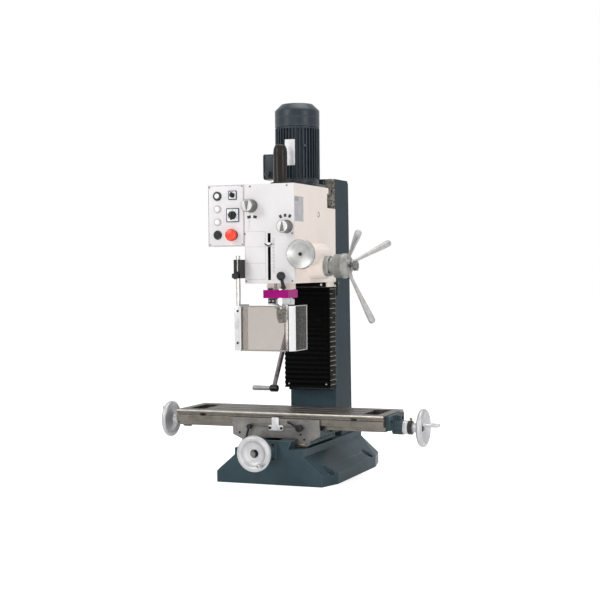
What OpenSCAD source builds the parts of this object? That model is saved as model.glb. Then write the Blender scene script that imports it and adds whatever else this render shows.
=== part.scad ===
// Geared-head milling and drilling machine on a cast base.
// Millimetres, +Z up. The origin is on the floor, straight under the spindle axis.
// +X is to the operator's right, +Y runs back from the operator to the column.

/* [Base] */
// Half width of the base at its front and rear faces
base_half = 200; // [190:1:204]
// Half width over the side feet
foot_half = 228; // [224:1:240]
// Half width of the flat deck that carries the ways
deck_half = 130; // [126:1:136]
// Front face of the base
base_front = -134; // [-138:1:-130]
// Rear face of the base
base_back = 495; // [492:1:510]
// Height of the deck
deck_z = 126; // [126:1:126]
// Height of the top of the cross ways
way_top_z = 156; // [156:1:156]
// Diameter of the four anchor holes
anchor_d = 14; // [12:1:16]

/* [Column] */
// Width of the column
column_w = 186; // [180:2:188]
// Front face of the column
column_y = 313; // [313:1:313]
// Rear face of the column at its top
column_back_top = 466; // [460:1:470]
// Rear face of the column at its foot
column_back_foot = 490; // [480:1:492]
// Height of the column top
column_top_z = 1091; // [1085:1:1100]
// Axis of the lifting screw behind the column face
lift_screw_y = 386; // [380:1:390]
// Height of the lifting crank shaft
crank_z = 532; // [528:1:536]
// Length of the lifting crank arm, hub to grip
crank_arm = 275; // [240:1:280]

/* [Table] */
// Length of the table
table_l = 800; // [780:10:820]
// Depth of the table, front to back
table_w = 240; // [236:2:244]
// Middle of the table, behind the spindle axis
table_y = 63; // [63:1:63]
// Height of the table top
table_top_z = 246; // [246:1:246]
// Width of a T-slot at its mouth
slot_w = 14; // [12:1:16]
// Distance between neighbouring T-slots
slot_pitch = 63; // [60:1:65]
// Axis height of the long feed screw
x_screw_z = 195.5; // [195.5:0.5:195.5]
// Diameter of the cross feed handwheel
cross_wheel_d = 126; // [120:1:130]
// Diameter of the two long feed handwheels
long_wheel_d = 136; // [126:1:138]

/* [Head] */
// Width of the gear head
head_w = 190; // [190:2:190]
// Front face of the gear head
head_front = -108; // [-108:1:-108]
// Height of the underside of the gear head
head_bottom_z = 708; // [704:1:710]
// Height of the top of the gear head
head_top_z = 1060; // [1056:1:1066]
// Diameter of the quill
quill_d = 84; // [84:1:84]
// Axis of the quill pinion behind the spindle axis
pinion_y = 58; // [58:1:58]
// Height of the quill pinion
pinion_z = 768; // [768:1:768]
// Height of the fine feed worm
worm_z = 810; // [810:1:810]
// Axis of the motor behind the spindle axis
motor_y = 168.8; // [168.8:0.1:168.8]
// Diameter of the motor over its fins
motor_d = 166; // [160:1:170]
// Height of the top of the fan cowl
motor_top_z = 1370; // [1360:1:1380]
// Reach of the star handle's grips from its axis
star_reach = 204; // [190:1:210]

/* [Guard] */
// Width of the guard's front pane
guard_w = 183; // [170:1:190]
// Height of the guard
guard_h = 159; // [150:1:165]
// Height of the guard's lower edge
guard_z = 472; // [465:1:480]
// Thickness of the clear panes
pane_t = 4; // [3:0.5:5]

/* [Hidden] */
$fn = 48;

column_half = column_w / 2;
head_half = head_w / 2;
table_half = table_l / 2;
table_front = table_y - table_w / 2;
table_back = table_y + table_w / 2;
way_half = 87;
way_root_half = 74;
way_slope = (way_half - way_root_half) / (way_top_z - deck_z);
gap = 0.3;
fit = 0.05;
skirt_z = 40;
shoulder_z = 102;
foot_front = base_front + 92;
foot_back = base_back - 120;
anchor_x = 204;
anchor_y = [-70, 345];
slab_z = 204;
leg_z = 187;
saddle_x = 167;
saddle_front = -67;
saddle_back = 193;
y_screw_z = 126;
cross_wheel_y = base_front - 126;
screw_d = 20;
journal_d = 18;
rail_root = 45;
rail_half = 58;
rail_front = 290;
block_bottom_z = 690;
block_top_z = 985;
body_back = 225;
wall = 12;
quill_bottom_z = 631;
collar_z = quill_bottom_z + 24;
collar_h = 29;
quill_top_z = 915;
neck_bottom_z = 686;
star_x = 225;
motor_root_d = motor_d - 20;
cowl_z = head_top_z + 222;
star_tip_x = 334;
lever_turn = [-54.8, 65.2, 185.2];
lock_turn = 25.5;
lock_z = neck_bottom_z + 8;
crank_tilt = 145.9;
crank_x = -131;
gear_m = 2.5;
motor_teeth = 18;
lay_big_teeth = 50;
lay_small_teeth = 24;
sleeve_teeth = 43;
lay_y = gear_m * (lay_small_teeth + sleeve_teeth) / 2;
rack_pitch = PI * gear_m;
rod_x0 = -108;
rod_y0 = -138;
bracket_front = -150;
bracket_low = 727;
bracket_high = 793;
knob_z = 736;

// Half width of the long dovetail at a height
function cross_half(z) = 58 + (z - 185) * 10 / 23;

// A box between two corners
module block(x0, x1, y0, y1, z0, z1) {
    translate([x0, y0, z0]) cube([x1 - x0, y1 - y0, z1 - z0]);
}

// Round bars along the three axes
module bar_x(x0, x1, y, z, d) {
    translate([x0, y, z]) rotate([0, 90, 0]) cylinder(d = d, h = x1 - x0);
}

module bar_y(x, y0, y1, z, d) {
    translate([x, y0, z]) rotate([-90, 0, 0]) cylinder(d = d, h = y1 - y0);
}

module bar_z(x, y, z0, z1, d) {
    translate([x, y, z0]) cylinder(d = d, h = z1 - z0);
}

// Outlines drawn as (x, z), run along Y, and as (y, z), run along X
module run_y(y0, y1) {
    translate([0, y1, 0]) rotate([90, 0, 0]) linear_extrude(y1 - y0) children();
}

module run_x(x0, x1) {
    translate([x0, 0, 0]) rotate([90, 0, 90]) linear_extrude(x1 - x0) children();
}

// A rectangle with rounded corners, centred
module round_rect(w, h, r) {
    square([w - 2 * r, h], center = true);
    square([w, h - 2 * r], center = true);
    for (sx = [-1, 1], sy = [-1, 1]) {
        translate([sx * (w / 2 - r), sy * (h / 2 - r)]) circle(r = r);
    }
}

// A spur gear outline with straight-flanked teeth
module gear_outline(teeth, m) {
    rp = m * teeth / 2;
    step = 360 / teeth;
    polygon([for (i = [0 : teeth - 1], p = [[-0.30, -1.15], [-0.13, 0.9], [0.13, 0.9], [0.30, -1.15]])
        (rp + p[1] * m) * [sin((i + p[0]) * step), cos((i + p[0]) * step)]]);
}

// A handwheel: a solid dished disc with a round rim, its face towards +Z, its hub below
module handwheel(d, bore, hub_d, hub_l) {
    rim = 11;
    r = d / 2;
    difference() {
        rotate_extrude() difference() {
            union() {
                translate([r - rim, 0]) circle(r = rim);
                polygon([[0, -12], [0, -2], [20, -2], [r - rim, 6], [r - rim, -4], [24, -12]]);
                translate([0, -hub_l]) square([hub_d / 2, hub_l]);
            }
            translate([-20, -hub_l - 1]) square([20, hub_l + 30]);
        }
        translate([0, 0, -hub_l - 1]) cylinder(d = bore, h = hub_l + 30);
    }
}

// A turned grip along +Z with a waist at its foot and a through bore
module turned_grip(len, d, bore) {
    difference() {
        rotate_extrude() polygon([
            [0, 0], [d * 0.32, 0], [d * 0.32, len * 0.12], [d * 0.5, len * 0.42],
            [d * 0.5, len * 0.86], [d * 0.42, len], [0, len]
        ]);
        translate([0, 0, -1]) cylinder(d = bore, h = len - 3);
    }
}

// Points of a folded edge, side times reach out, drawn in by depth between folds
function pleats(side, reach, depth, z0, z1, folds) = concat(
    [for (i = [0 : folds - 1], k = [0, 1])
        [side * (reach - k * depth), z0 + (z1 - z0) * (i + k * 0.5) / folds]],
    [[side * reach, z1]]
);

// Takes off all above the plane through three corners
module cut_above(a, b, c) {
    across = cross(b - a, c - a);
    up = across * sign(across[2]) / norm(across);
    translate(a) rotate([0, acos(up[2]), atan2(up[1], up[0])]) translate([-300, -300, 0])
        cube([600, 600, 200]);
}

module base_body() {
    difference() {
        intersection() {
            run_y(base_front, base_back) polygon([
                [-foot_half, 0], [foot_half, 0], [foot_half, skirt_z], [deck_half, shoulder_z],
                [-deck_half, shoulder_z], [-foot_half, skirt_z]
            ]);
            linear_extrude(shoulder_z) polygon([
                [-base_half, base_front], [base_half, base_front], [foot_half, foot_front],
                [foot_half, foot_back], [base_half, base_back], [-base_half, base_back],
                [-foot_half, foot_back], [-foot_half, foot_front]
            ]);
        }
        for (s = [0, 1], end = [[base_front, foot_front], [base_back, foot_back]]) {
            mirror([s, 0, 0]) cut_above([base_half, end[0], skirt_z], [foot_half, end[1], skirt_z],
                [deck_half, end[0], shoulder_z]);
        }
    }
    block(-deck_half, deck_half, base_front, base_back, skirt_z, deck_z);
    run_y(base_front, 285) polygon([
        [-way_root_half, deck_z], [way_root_half, deck_z], [way_half, way_top_z], [-way_half, way_top_z]
    ]);
}

module base_casting() {
    color("#33434e") difference() {
        base_body();
        for (y = [[base_front + 20, -12], [12, base_back - 20]]) {
            run_y(y[0], y[1]) polygon([
                [-178, -1], [178, -1], [178, 30], [108, 82], [-108, 82], [-178, 30]
            ]);
        }
        block(-34, 34, base_front + 16, 286, 98, way_top_z + 1);
        bar_y(0, base_front - 1, base_front + 17, y_screw_z, 26);
        for (sx = [-1, 1], y = anchor_y) {
            bar_z(sx * anchor_x, y, -1, skirt_z, anchor_d);
            bar_z(sx * anchor_x, y, skirt_z - 5, shoulder_z, anchor_d + 30);
        }
        for (sx = [-1, 1], y = [312, 390, 468]) {
            bar_z(sx * 108, y, 104, deck_z + 1, 12);
        }
    }
}

module column() {
    color("#33434e") difference() {
        union() {
            run_x(-column_half, column_half) polygon([
                [column_y, deck_z + 24], [column_back_foot, deck_z + 24],
                [column_back_top, column_top_z], [column_y, column_top_z]
            ]);
            block(-122, 122, 290, base_back - 2, deck_z, deck_z + 24);
            translate([0, 0, 320]) linear_extrude(column_top_z - 320) polygon([
                [-rail_root, column_y], [rail_root, column_y], [rail_half, rail_front],
                [-rail_half, rail_front]
            ]);
            translate([0, 387, column_top_z]) linear_extrude(8) round_rect(column_w, 160, 10);
            bar_x(-column_half - 10, -column_half + 1, lift_screw_y, crank_z, 64);
            bar_x(-column_half - 26, -column_half + 1, lift_screw_y, crank_z, 40);
        }
        difference() {
            run_x(-column_half + 14, column_half - 14) polygon([
                [column_y + 17, deck_z - 1], [column_back_foot - 16, deck_z - 1],
                [column_back_top - 16, column_top_z - 22], [column_y + 17, column_top_z - 22]
            ]);
            block(-80, 80, column_y, column_back_foot, crank_z - 76, crank_z - 56);
        }
        block(-23, 23, rail_front - 1, column_y + 18, 636, 1056);
        bar_z(0, lift_screw_y, crank_z - 77, crank_z - 55, screw_d + 2 * fit);
        bar_z(0, lift_screw_y, column_top_z - 23, column_top_z - 8, screw_d + 2 * fit);
        bar_x(-column_half - 27, -column_half + 15, lift_screw_y, crank_z, 16 + 2 * fit);
        for (sx = [-1, 1], y = [312, 390, 468]) {
            bar_z(sx * 108, y, deck_z - 1, deck_z + 25, 12);
        }
    }
}

module column_bolts() {
    color("#3a3d40") for (sx = [-1, 1], y = [312, 390, 468]) {
        bar_z(sx * 108, y, 105, deck_z + 24, 12);
        difference() {
            bar_z(sx * 108, y, deck_z + 24, deck_z + 36, 18);
            bar_z(sx * 108, y, deck_z + 30, deck_z + 37, 10);
        }
    }
}

module y_bracket() {
    color("#2b3640") difference() {
        union() {
            run_y(base_front - 14, base_front) translate([0, 118]) round_rect(70, 70, 16);
            bar_y(0, base_front - 32, base_front, y_screw_z, 50);
        }
        bar_y(0, base_front - 33, base_front + 1, y_screw_z, journal_d + 2 * fit);
    }
}

module bellows() {
    bottom = 309;
    top = block_bottom_z - 0.5;
    folds = 21;
    color("#101314") difference() {
        intersection() {
            run_x(-column_half - 1, column_half + 1) polygon(concat(
                [[column_y, bottom]], pleats(1, 246, -6, bottom, top, folds), [[column_y, top]]
            ));
            run_y(240, column_y) polygon(concat(
                pleats(1, column_half, 5, bottom, top, folds),
                pleats(-1, column_half, 5, top, bottom, folds)
            ));
        }
        block(-66, 66, 270, column_y + 1, bottom - 1, top + 1);
    }
}

module bevel(d1, d2, h) {
    difference() {
        cylinder(d1 = d1, d2 = d2, h = h);
        for (a = [0 : 30 : 330]) {
            rotate(a) translate([d2 / 2 + 1, -1.5, -1]) cube([d1, 3, h + 2]);
        }
    }
}

module z_screw() {
    foot = crank_z - 77;
    color("#9a9d9f") translate([0, lift_screw_y, 0]) {
        translate([0, 0, foot]) cylinder(d = screw_d, h = column_top_z - 12 - foot);
        translate([0, 0, crank_z - 55.7]) cylinder(d = 32, h = 30);
        translate([0, 0, crank_z - 26]) cylinder(d = 70, h = 7.5);
        translate([0, 0, crank_z - 18.5]) bevel(70, 48, 6);
        translate([0, 0, 590]) cylinder(d = 22, h = 460);
    }
}

module z_crank() {
    color("#6d6862") {
        bar_x(-144, -36, lift_screw_y, crank_z, 16);
        bar_x(-140, -122, lift_screw_y, crank_z, 34);
        translate([crank_x, lift_screw_y, crank_z]) rotate([crank_tilt, 0, 0])
            cylinder(d = 20, h = crank_arm);
        translate([crank_x, lift_screw_y, crank_z]) rotate([crank_tilt, 0, 0])
            translate([0, 0, crank_arm]) {
                rotate([0, 90, 0]) translate([0, 0, -13]) cylinder(d = 27, h = 30);
                rotate([0, -90, 0]) cylinder(d = 8, h = 80);
            }
        translate([-37, lift_screw_y, crank_z]) rotate([0, 90, 0]) bevel(34, 24, 12);
    }
}

module z_crank_grip() {
    color("#b4b6b6") translate([crank_x, lift_screw_y, crank_z]) rotate([crank_tilt, 0, 0])
        translate([-14, 0, crank_arm]) rotate([0, -90, 0]) turned_grip(72, 20, 8 + 2 * fit);
}

module y_screw() {
    color("#9a9d9f") {
        bar_y(0, cross_wheel_y - 11, base_front + 20, y_screw_z, journal_d);
        bar_y(0, base_front + 20, 262, y_screw_z, screw_d);
    }
}

module y_handwheel() {
    color("#cfd0d0") {
        translate([0, cross_wheel_y, y_screw_z]) rotate([90, 0, 0])
            handwheel(cross_wheel_d, journal_d, 34, 80);
        difference() {
            bar_y(0, base_front - 58, base_front - 32.5, y_screw_z, 50);
            bar_y(0, base_front - 59, base_front - 31, y_screw_z, journal_d);
        }
        bar_y(42, cross_wheel_y - 64, cross_wheel_y - 4, y_screw_z - 33, 7);
    }
}

module y_grip() {
    color("#d6d7d7") translate([42, cross_wheel_y - 12, y_screw_z - 33]) rotate([90, 0, 0])
        turned_grip(58, 17, 7 + 2 * fit);
}

module saddle() {
    top = 208;
    flank = way_half + gap + way_slope * gap;
    leg = way_half + gap - way_slope * (way_top_z - deck_z - 2);
    color("#8d8c88") difference() {
        union() {
            for (s = [0, 1]) {
                mirror([s, 0, 0]) run_y(saddle_front, saddle_back) polygon([
                    [0, way_top_z + gap], [flank, way_top_z + gap], [leg, deck_z + 2],
                    [118, deck_z + 2], [131, 136], [131, 148], [saddle_x, 165],
                    [saddle_x, 186], [0, 186]
                ]);
            }
            translate([0, table_y, 0]) run_x(-saddle_x, saddle_x) polygon([
                [-cross_half(185), 185], [cross_half(185), 185],
                [cross_half(top), top], [-cross_half(top), top]
            ]);
            block(-saddle_x, saddle_x, saddle_front, saddle_front + 9, 185, 226);
        }
        block(-saddle_x - 1, saddle_x + 1, table_y - 24, table_y + 24, 172, top + 1);
        for (x = [-96, 96]) {
            bar_y(x, saddle_front - 1, saddle_front + 30, 196, 10 + 2 * fit);
        }
    }
}

module feed_nuts() {
    color("#b08a4a") {
        difference() {
            block(-30, 30, table_y - 23, table_y + 23, 172, 207);
            bar_x(-31, 31, table_y, x_screw_z, screw_d + 2 * fit);
        }
        difference() {
            block(-28, 28, 40, 96, 104, way_top_z + gap);
            bar_y(0, 39, 97, y_screw_z, screw_d + 2 * fit);
        }
    }
}

module table_stop() {
    color("#c9c6c8") {
        run_y(saddle_front - 6, saddle_front) {
            translate([3, 193]) round_rect(56, 20, 6);
            translate([1, 211]) square([27, 38], center = true);
        }
        for (x = [-19, 25]) {
            bar_y(x, saddle_front - 10, saddle_front - 6, 193, 10);
        }
    }
}

// A clamp lever on the saddle's front: screw, hub and slim handle
module clamp_lever(x, z, turn, len, hub_d) {
    bar_y(x, saddle_front - 12, saddle_front + 28, z, 10);
    translate([x, saddle_front - 10, z]) rotate([0, turn, 0]) {
        rotate([90, 0, 0]) cylinder(d = hub_d, h = 12);
        translate([0, -6, 0]) cylinder(d1 = 8, d2 = 6, h = len);
        translate([0, -6, len]) sphere(d = 11);
    }
}

module table_lock_left() {
    color("#3b3d40") clamp_lever(-96, 196, 197, 44, 18);
}

module table_lock_right() {
    color("#232528") clamp_lever(96, 196, -63, 44, 26);
}

module t_slot(y) {
    block(-310, 310, y - slot_w / 2, y + slot_w / 2, table_top_z - 22, table_top_z + 1);
    block(-310, 310, y - 12, y + 12, table_top_z - 22, table_top_z - 12);
}

module table() {
    low = leg_z - 3;
    high = 208.4;
    play = gap + 0.05;
    color("#a3a29d") difference() {
        union() {
            block(-table_half, table_half, table_front, table_back, slab_z, table_top_z);
            block(-table_half, table_half, table_y - 95, table_y + 95, leg_z, slab_z + 1);
        }
        translate([0, table_y, 0]) run_x(-table_half - 1, table_half + 1) polygon([
            [-cross_half(low) - play, low], [cross_half(low) + play, low],
            [cross_half(high) + play, high], [-cross_half(high) - play, high]
        ]);
        for (k = [-1, 0, 1]) {
            t_slot(table_y + k * slot_pitch);
        }
        for (s = [0, 1]) {
            mirror([s, 0, 0]) block(308, 368, table_y - 78, table_y + 78, table_top_z - 24, table_top_z + 1);
        }
        block(-table_half - 1, table_half + 1, table_front - 1, table_front + 8, 226.4, 234);
    }
}

module stop_dogs() {
    color("#3a3d40") for (x = [-295, 289]) {
        block(x - 7, x + 7, table_front - 5, table_front + 8, 226.6, 233.8);
        bar_y(x, table_front - 9, table_front - 5, 230.2, 8);
    }
}

// The bearing bracket at one end of the table
module table_bracket(len) {
    difference() {
        union() {
            run_x(table_half, table_half + 12) translate([table_y, 216]) round_rect(176, 52, 8);
            bar_x(table_half, table_half + len, table_y, x_screw_z, 52);
            block(table_half, table_half + len - 8, table_y - 6, table_y + 6, 205, 238);
        }
        bar_x(table_half - 1, table_half + len + 1, table_y, x_screw_z, journal_d + 2 * fit);
    }
}

module table_bracket_left() {
    color("#33434e") mirror([1, 0, 0]) table_bracket(24);
}

module table_bracket_right() {
    color("#33434e") table_bracket(37);
}

module x_screw() {
    color("#9a9d9f") {
        bar_x(-table_half - 84, -table_half + 1, table_y, x_screw_z, journal_d);
        bar_x(-table_half + 1, table_half - 1, table_y, x_screw_z, screw_d);
        bar_x(table_half - 1, table_half + 112, table_y, x_screw_z, journal_d);
    }
}

module x_handwheel_left() {
    color("#cfd0d0") translate([-table_half - 82, table_y, x_screw_z]) rotate([0, -90, 0]) {
        handwheel(long_wheel_d, journal_d, 34, 56);
        rotate(-32) translate([52, 0, 9]) cylinder(d1 = 15, d2 = 12, h = 11);
    }
}

module x_handwheel_right() {
    color("#cfd0d0") {
        translate([table_half + 109, table_y, x_screw_z]) rotate([0, 90, 0])
            handwheel(long_wheel_d, journal_d, 34, 60);
        difference() {
            bar_x(table_half + 37.5, table_half + 70, table_y, x_screw_z, 50);
            bar_x(table_half + 37, table_half + 71, table_y, x_screw_z, journal_d);
        }
        bar_x(table_half + 113, table_half + 175, table_y - 45, x_screw_z + 17, 7);
        bar_z(table_half + 46, table_y, x_screw_z + 22, x_screw_z + 32, 8);
    }
}

module x_grip() {
    color("#d6d7d7") translate([table_half + 121, table_y - 45, x_screw_z + 17])
        rotate([0, 90, 0]) turned_grip(61, 17, 7 + 2 * fit);
}

module head_shell() {
    block(-head_half, head_half, head_front + 3, body_back, head_bottom_z, head_top_z);
    block(-head_half, head_half, body_back, body_back + 15, head_top_z - 22, head_top_z);
    block(-head_half, head_half, body_back - 1, column_y - gap, block_bottom_z, block_top_z);
    bar_z(0, 0, neck_bottom_z, head_bottom_z + 5, 104);
    bar_y(112, -100, 112, worm_z, 80);
    bar_x(90, 152, pinion_y, pinion_z, 92);
}

module head_casting() {
    recess = rail_half + gap + 0.2;
    color("#e9e6e5") difference() {
        head_shell();
        difference() {
            block(-head_half + wall, head_half - wall, head_front + 15, body_back - wall,
                head_bottom_z + wall, head_top_z - 14);
            bar_z(0, 0, head_bottom_z, quill_top_z - 10, quill_d + 28);
            bar_x(-head_half, -48, pinion_y, pinion_z, 50);
        }
        bar_z(0, 0, neck_bottom_z - 1, quill_top_z - 9, quill_d + 2 * fit);
        block(-21, 21, 30, 90, pinion_z - 24, pinion_z + 24);
        bar_x(-70, 90, pinion_y, pinion_z, 25 + 2 * fit);
        bar_x(60, 110, pinion_y, pinion_z, 44);
        bar_x(109, 153, pinion_y, pinion_z, 66);
        bar_y(132, -101, -24, worm_z, 14 + 2 * fit);
        bar_y(132, -25, 100, worm_z, 28);
        bar_z(0, 0, head_top_z - 15, head_top_z + 1, 50);
        bar_z(0, motor_y, head_top_z - 15, head_top_z + 1, 90);
        bar_y(-67, head_front, head_front + 16, 983, 14);
        bar_y(67, head_front, head_front + 16, 907.5, 14);
        block(-6, 5, head_front + 2, head_front + 16, 720, 886);
        block(-6, 5, -58, -40, neck_bottom_z - 1, 886);
        bar_x(70, head_half + 1, 296, 703, 9 + 2 * fit);
        translate([0, 0, block_bottom_z - 1]) linear_extrude(block_top_z - block_bottom_z + 2) polygon([
            [-rail_root - gap, column_y + 1], [rail_root + gap, column_y + 1],
            [recess, rail_front - gap], [-recess, rail_front - gap]
        ]);
        translate([0, 0, lock_z]) rotate(lock_turn) bar_y(0, -60, -40, 0, 10 + 2 * fit);
    }
}

module front_panel() {
    color("#f1eeee") difference() {
        block(-head_half, head_half, head_front, head_front + 3, head_bottom_z, head_top_z);
        block(-6, 5, head_front - 1, head_front + 4, 720, 886);
        bar_y(-67, head_front - 1, head_front + 4, 983, 14);
        bar_y(67, head_front - 1, head_front + 4, 907.5, 14);
    }
}

module control_box() {
    color("#e4e2e2") difference() {
        block(-237, -97, head_front + 3, -42, 841, head_top_z);
        block(-233, -101, head_front + 2, -46, 845, head_top_z - 4);
        block(-102, -96, -90, -60, 930, 980);
    }
    color("#e4e2e2") block(-97, -head_half, -92, -58, 925, 985);
}

module control_panel() {
    color("#f1eeee") difference() {
        block(-237, -97, head_front, head_front + 3, 841, head_top_z);
        for (z = [1021, 882]) {
            bar_y(-200, head_front - 1, head_front + 4, z, 20);
        }
        bar_y(-140, head_front - 1, head_front + 4, 881, 20);
        for (z = [1023, 952]) {
            bar_y(-140, head_front - 1, head_front + 4, z, 12);
        }
    }
    color("#eceaea") for (z = [974.5, 928]) {
        bar_y(-200, head_front - 8, head_front, z, 28);
    }
    color("#1d1f22") run_y(head_front - 3, head_front) {
        difference() {
            translate([-140, 952]) square([50, 50], center = true);
            translate([-140, 952]) circle(d = 12);
        }
        difference() {
            translate([-140, 1023]) square([33, 33], center = true);
            translate([-140, 1023]) circle(d = 12);
        }
    }
}

module motor_housing() {
    color("#29323a") translate([0, motor_y, 0]) {
        difference() {
            union() {
                translate([0, 0, head_top_z]) linear_extrude(10) round_rect(184, 136, 20);
                translate([0, 0, head_top_z + 10]) cylinder(d = motor_d - 8, h = 18);
                translate([0, 0, head_top_z + 28]) cylinder(d = motor_root_d, h = cowl_z - head_top_z - 28);
                for (a = [0 : 12 : 348]) {
                    rotate(a) translate([motor_d / 2 - 14, -1.5, head_top_z + 34]) cube([14, 3, 184]);
                }
            }
            translate([0, 0, head_top_z - 1]) cylinder(d = 24 + 2 * fit, h = 38);
            translate([0, 0, head_top_z + 36]) cylinder(d = motor_root_d - 24, h = 187);
        }
    }
    color("#29323a") difference() {
        translate([-89, motor_y - 5, 1091]) linear_extrude(96) round_rect(66, 78, 10);
        bar_z(0, motor_y, 1090, 1188, motor_root_d);
        block(-118, -88, motor_y - 40, motor_y + 30, 1095, 1183);
    }
    color("#29323a") for (a = [-50, 50]) {
        translate([0, motor_y, 1210]) rotate(a) block(motor_d / 2 - 12, motor_d / 2 + 4, -5, 5, -5, 5);
    }
}

module fan_cowl() {
    r = motor_d / 2;
    h = motor_top_z - cowl_z;
    skin = 3;
    color("#232b32") translate([0, motor_y, cowl_z]) difference() {
        rotate_extrude() polygon([[0, 0], [r, 0], [r, h - 26], [r - 25, h - 2], [0, h]]);
        translate([0, 0, -1]) rotate_extrude() polygon([
            [0, 0], [r - skin, 0], [r - skin, h - 26], [r - 25 - skin, h - 4], [0, h - 2]
        ]);
        for (a = [0 : 30 : 330]) {
            rotate(a) block(18, 52, -4, 4, h - 10, h + 1);
        }
    }
}

module drawbar_cap() {
    color("#4b4744") difference() {
        union() {
            bar_z(0, 0, head_top_z, 1198, 51);
            bar_z(0, 0, 1197, 1208, 42);
            bar_z(0, 0, head_top_z, head_top_z + 10, 72);
        }
        bar_z(0, 0, head_top_z - 1, 1194, 44);
    }
}

module z_nut() {
    color("#b08a4a") difference() {
        union() {
            block(-19, 19, rail_front - gap, lift_screw_y, 880, 930);
            bar_z(0, lift_screw_y, 870, 940, 48);
        }
        bar_z(0, lift_screw_y, 869, 941, 22 + 2 * fit);
    }
}

module pinion_flange() {
    color("#a9aaa9") difference() {
        union() {
            bar_x(152, 170, pinion_y, pinion_z, 74);
            bar_x(142.5, 186, pinion_y, pinion_z, 60);
        }
        bar_x(142, 187, pinion_y, pinion_z, 25 + 2 * fit);
    }
}

// Ring bearings of the gear train
module ring_z(x, y, z, d, bore, h) {
    difference() {
        bar_z(x, y, z, z + h, d);
        bar_z(x, y, z - 1, z + h + 1, bore + 2 * fit);
    }
}

module gear_bearings() {
    color("#8f9294") {
        ring_z(0, lay_y, 932, 47, 20, 14);
        ring_z(0, lay_y, head_top_z - 28, 47, 20, 14);
        difference() {
            block(-83, 83, 60, 205, 926, 932);
            bar_z(0, lay_y, 925, 933, 24);
        }
        ring_z(0, 0, head_top_z - 14, 50, 36, 14);
    }
}

module guard_bracket() {
    color("#17191b") difference() {
        block(rod_x0 - 12, -head_half, bracket_front, -92, bracket_low, bracket_high);
        bar_z(rod_x0, rod_y0, bracket_low - 1, bracket_high + 1, 16 + 2 * fit);
        block(rod_x0 - 4, rod_x0 + 4, bracket_front - 1, rod_y0, knob_z + 16, bracket_high + 1);
        bar_y(rod_x0, bracket_front - 1, rod_y0, knob_z, 8 + 2 * fit);
    }
}

module quill() {
    color("#c5c7c8") difference() {
        union() {
            bar_z(0, 0, quill_bottom_z, quill_bottom_z + 20, 97);
            bar_z(0, 0, quill_bottom_z, quill_top_z, quill_d);
        }
        bar_z(0, 0, quill_bottom_z - 1, quill_top_z + 1, 50 + 2 * fit);
        block(-14, 14, 41.2, 50, 740, quill_top_z + 1);
        for (i = [0 : 20]) {
            translate([-14, 0, pinion_z - 23.5 + i * rack_pitch]) rotate([90, 0, 90]) linear_extrude(28)
                polygon([[42.5, -3.2], [35.8, -1.3], [35.8, 1.3], [42.5, 3.2]]);
        }
    }
}

module quill_collar() {
    color("#a8127c") difference() {
        translate([0, 0, collar_z]) linear_extrude(collar_h) difference() {
            translate([0, -9]) round_rect(96, 102, 6);
            circle(d = quill_d);
        }
        block(-3, 3, 30, 60, collar_z - 1, collar_z + collar_h + 1);
    }
}

module depth_pointer() {
    color("#e8e8e8") {
        bar_z(-0.5, -49, collar_z + collar_h, 842, 6);
        block(-4, 3, head_front - 3, -46, 842, 850);
        run_y(head_front - 6, head_front - 2) translate([-1, 847]) round_rect(32, 11, 3);
    }
}

module spindle() {
    color("#bfc1c2") {
        bar_z(0, 0, 616, quill_top_z, 50);
        bar_z(0, 0, quill_top_z, 1150, 30);
        bar_z(0, 0, 1150, 1166, 18);
        bar_z(0, 0, 1166, 1180, 26);
    }
}

module drill_chuck() {
    color("#8e9091") difference() {
        union() {
            bar_z(0, 0, 582, 616, 37);
            translate([0, 0, 564]) cylinder(d1 = 21, d2 = 35, h = 18);
        }
        bar_z(0, 0, 563, 592, 13);
        bar_x(-30, -12, 0, 598, 7);
        bar_x(12, 30, 0, 598, 7);
    }
}

module motor_rotor() {
    color("#9a9d9f") translate([0, motor_y, 0]) {
        translate([0, 0, 1000]) cylinder(d = 24, h = 96);
        translate([0, 0, 1000]) rotate(10) linear_extrude(20) gear_outline(motor_teeth, gear_m);
        translate([0, 0, 1097]) cylinder(d = 100, h = 120);
        translate([0, 0, 1096]) cylinder(d = 24, h = 215);
        translate([0, 0, 1288]) cylinder(d = 50, h = 20);
        for (a = [0 : 60 : 300]) {
            rotate(a) translate([20, -1.5, 1288]) cube([48, 3, 22]);
        }
    }
}

module layshaft() {
    color("#9a9d9f") translate([0, lay_y, 0]) {
        translate([0, 0, 925]) cylinder(d = 20, h = head_top_z - 15 - 925);
        translate([0, 0, 1001]) linear_extrude(18) gear_outline(lay_big_teeth, gear_m);
        translate([0, 0, 958]) linear_extrude(22) gear_outline(lay_small_teeth, gear_m);
        translate([0, 0, 980]) cylinder(d = 40, h = 21);
    }
}

module sleeve_gear() {
    color("#9a9d9f") difference() {
        union() {
            translate([0, 0, 959]) rotate(180 / sleeve_teeth) linear_extrude(20)
                gear_outline(sleeve_teeth, gear_m);
            bar_z(0, 0, 970, head_top_z + 4, 36);
        }
        bar_z(0, 0, 958, head_top_z + 5, 30 + 2 * fit);
    }
}

module pinion_shaft() {
    color("#9a9d9f") {
        difference() {
            bar_x(-68, star_x + 15, pinion_y, pinion_z, 25);
            bar_x(star_x - 10, star_x + 16, pinion_y, pinion_z, 12 + 2 * fit);
        }
        translate([-13, pinion_y, pinion_z]) rotate([90, 0, 90]) linear_extrude(26)
            rotate(-6) gear_outline(15, gear_m);
    }
}

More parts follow.
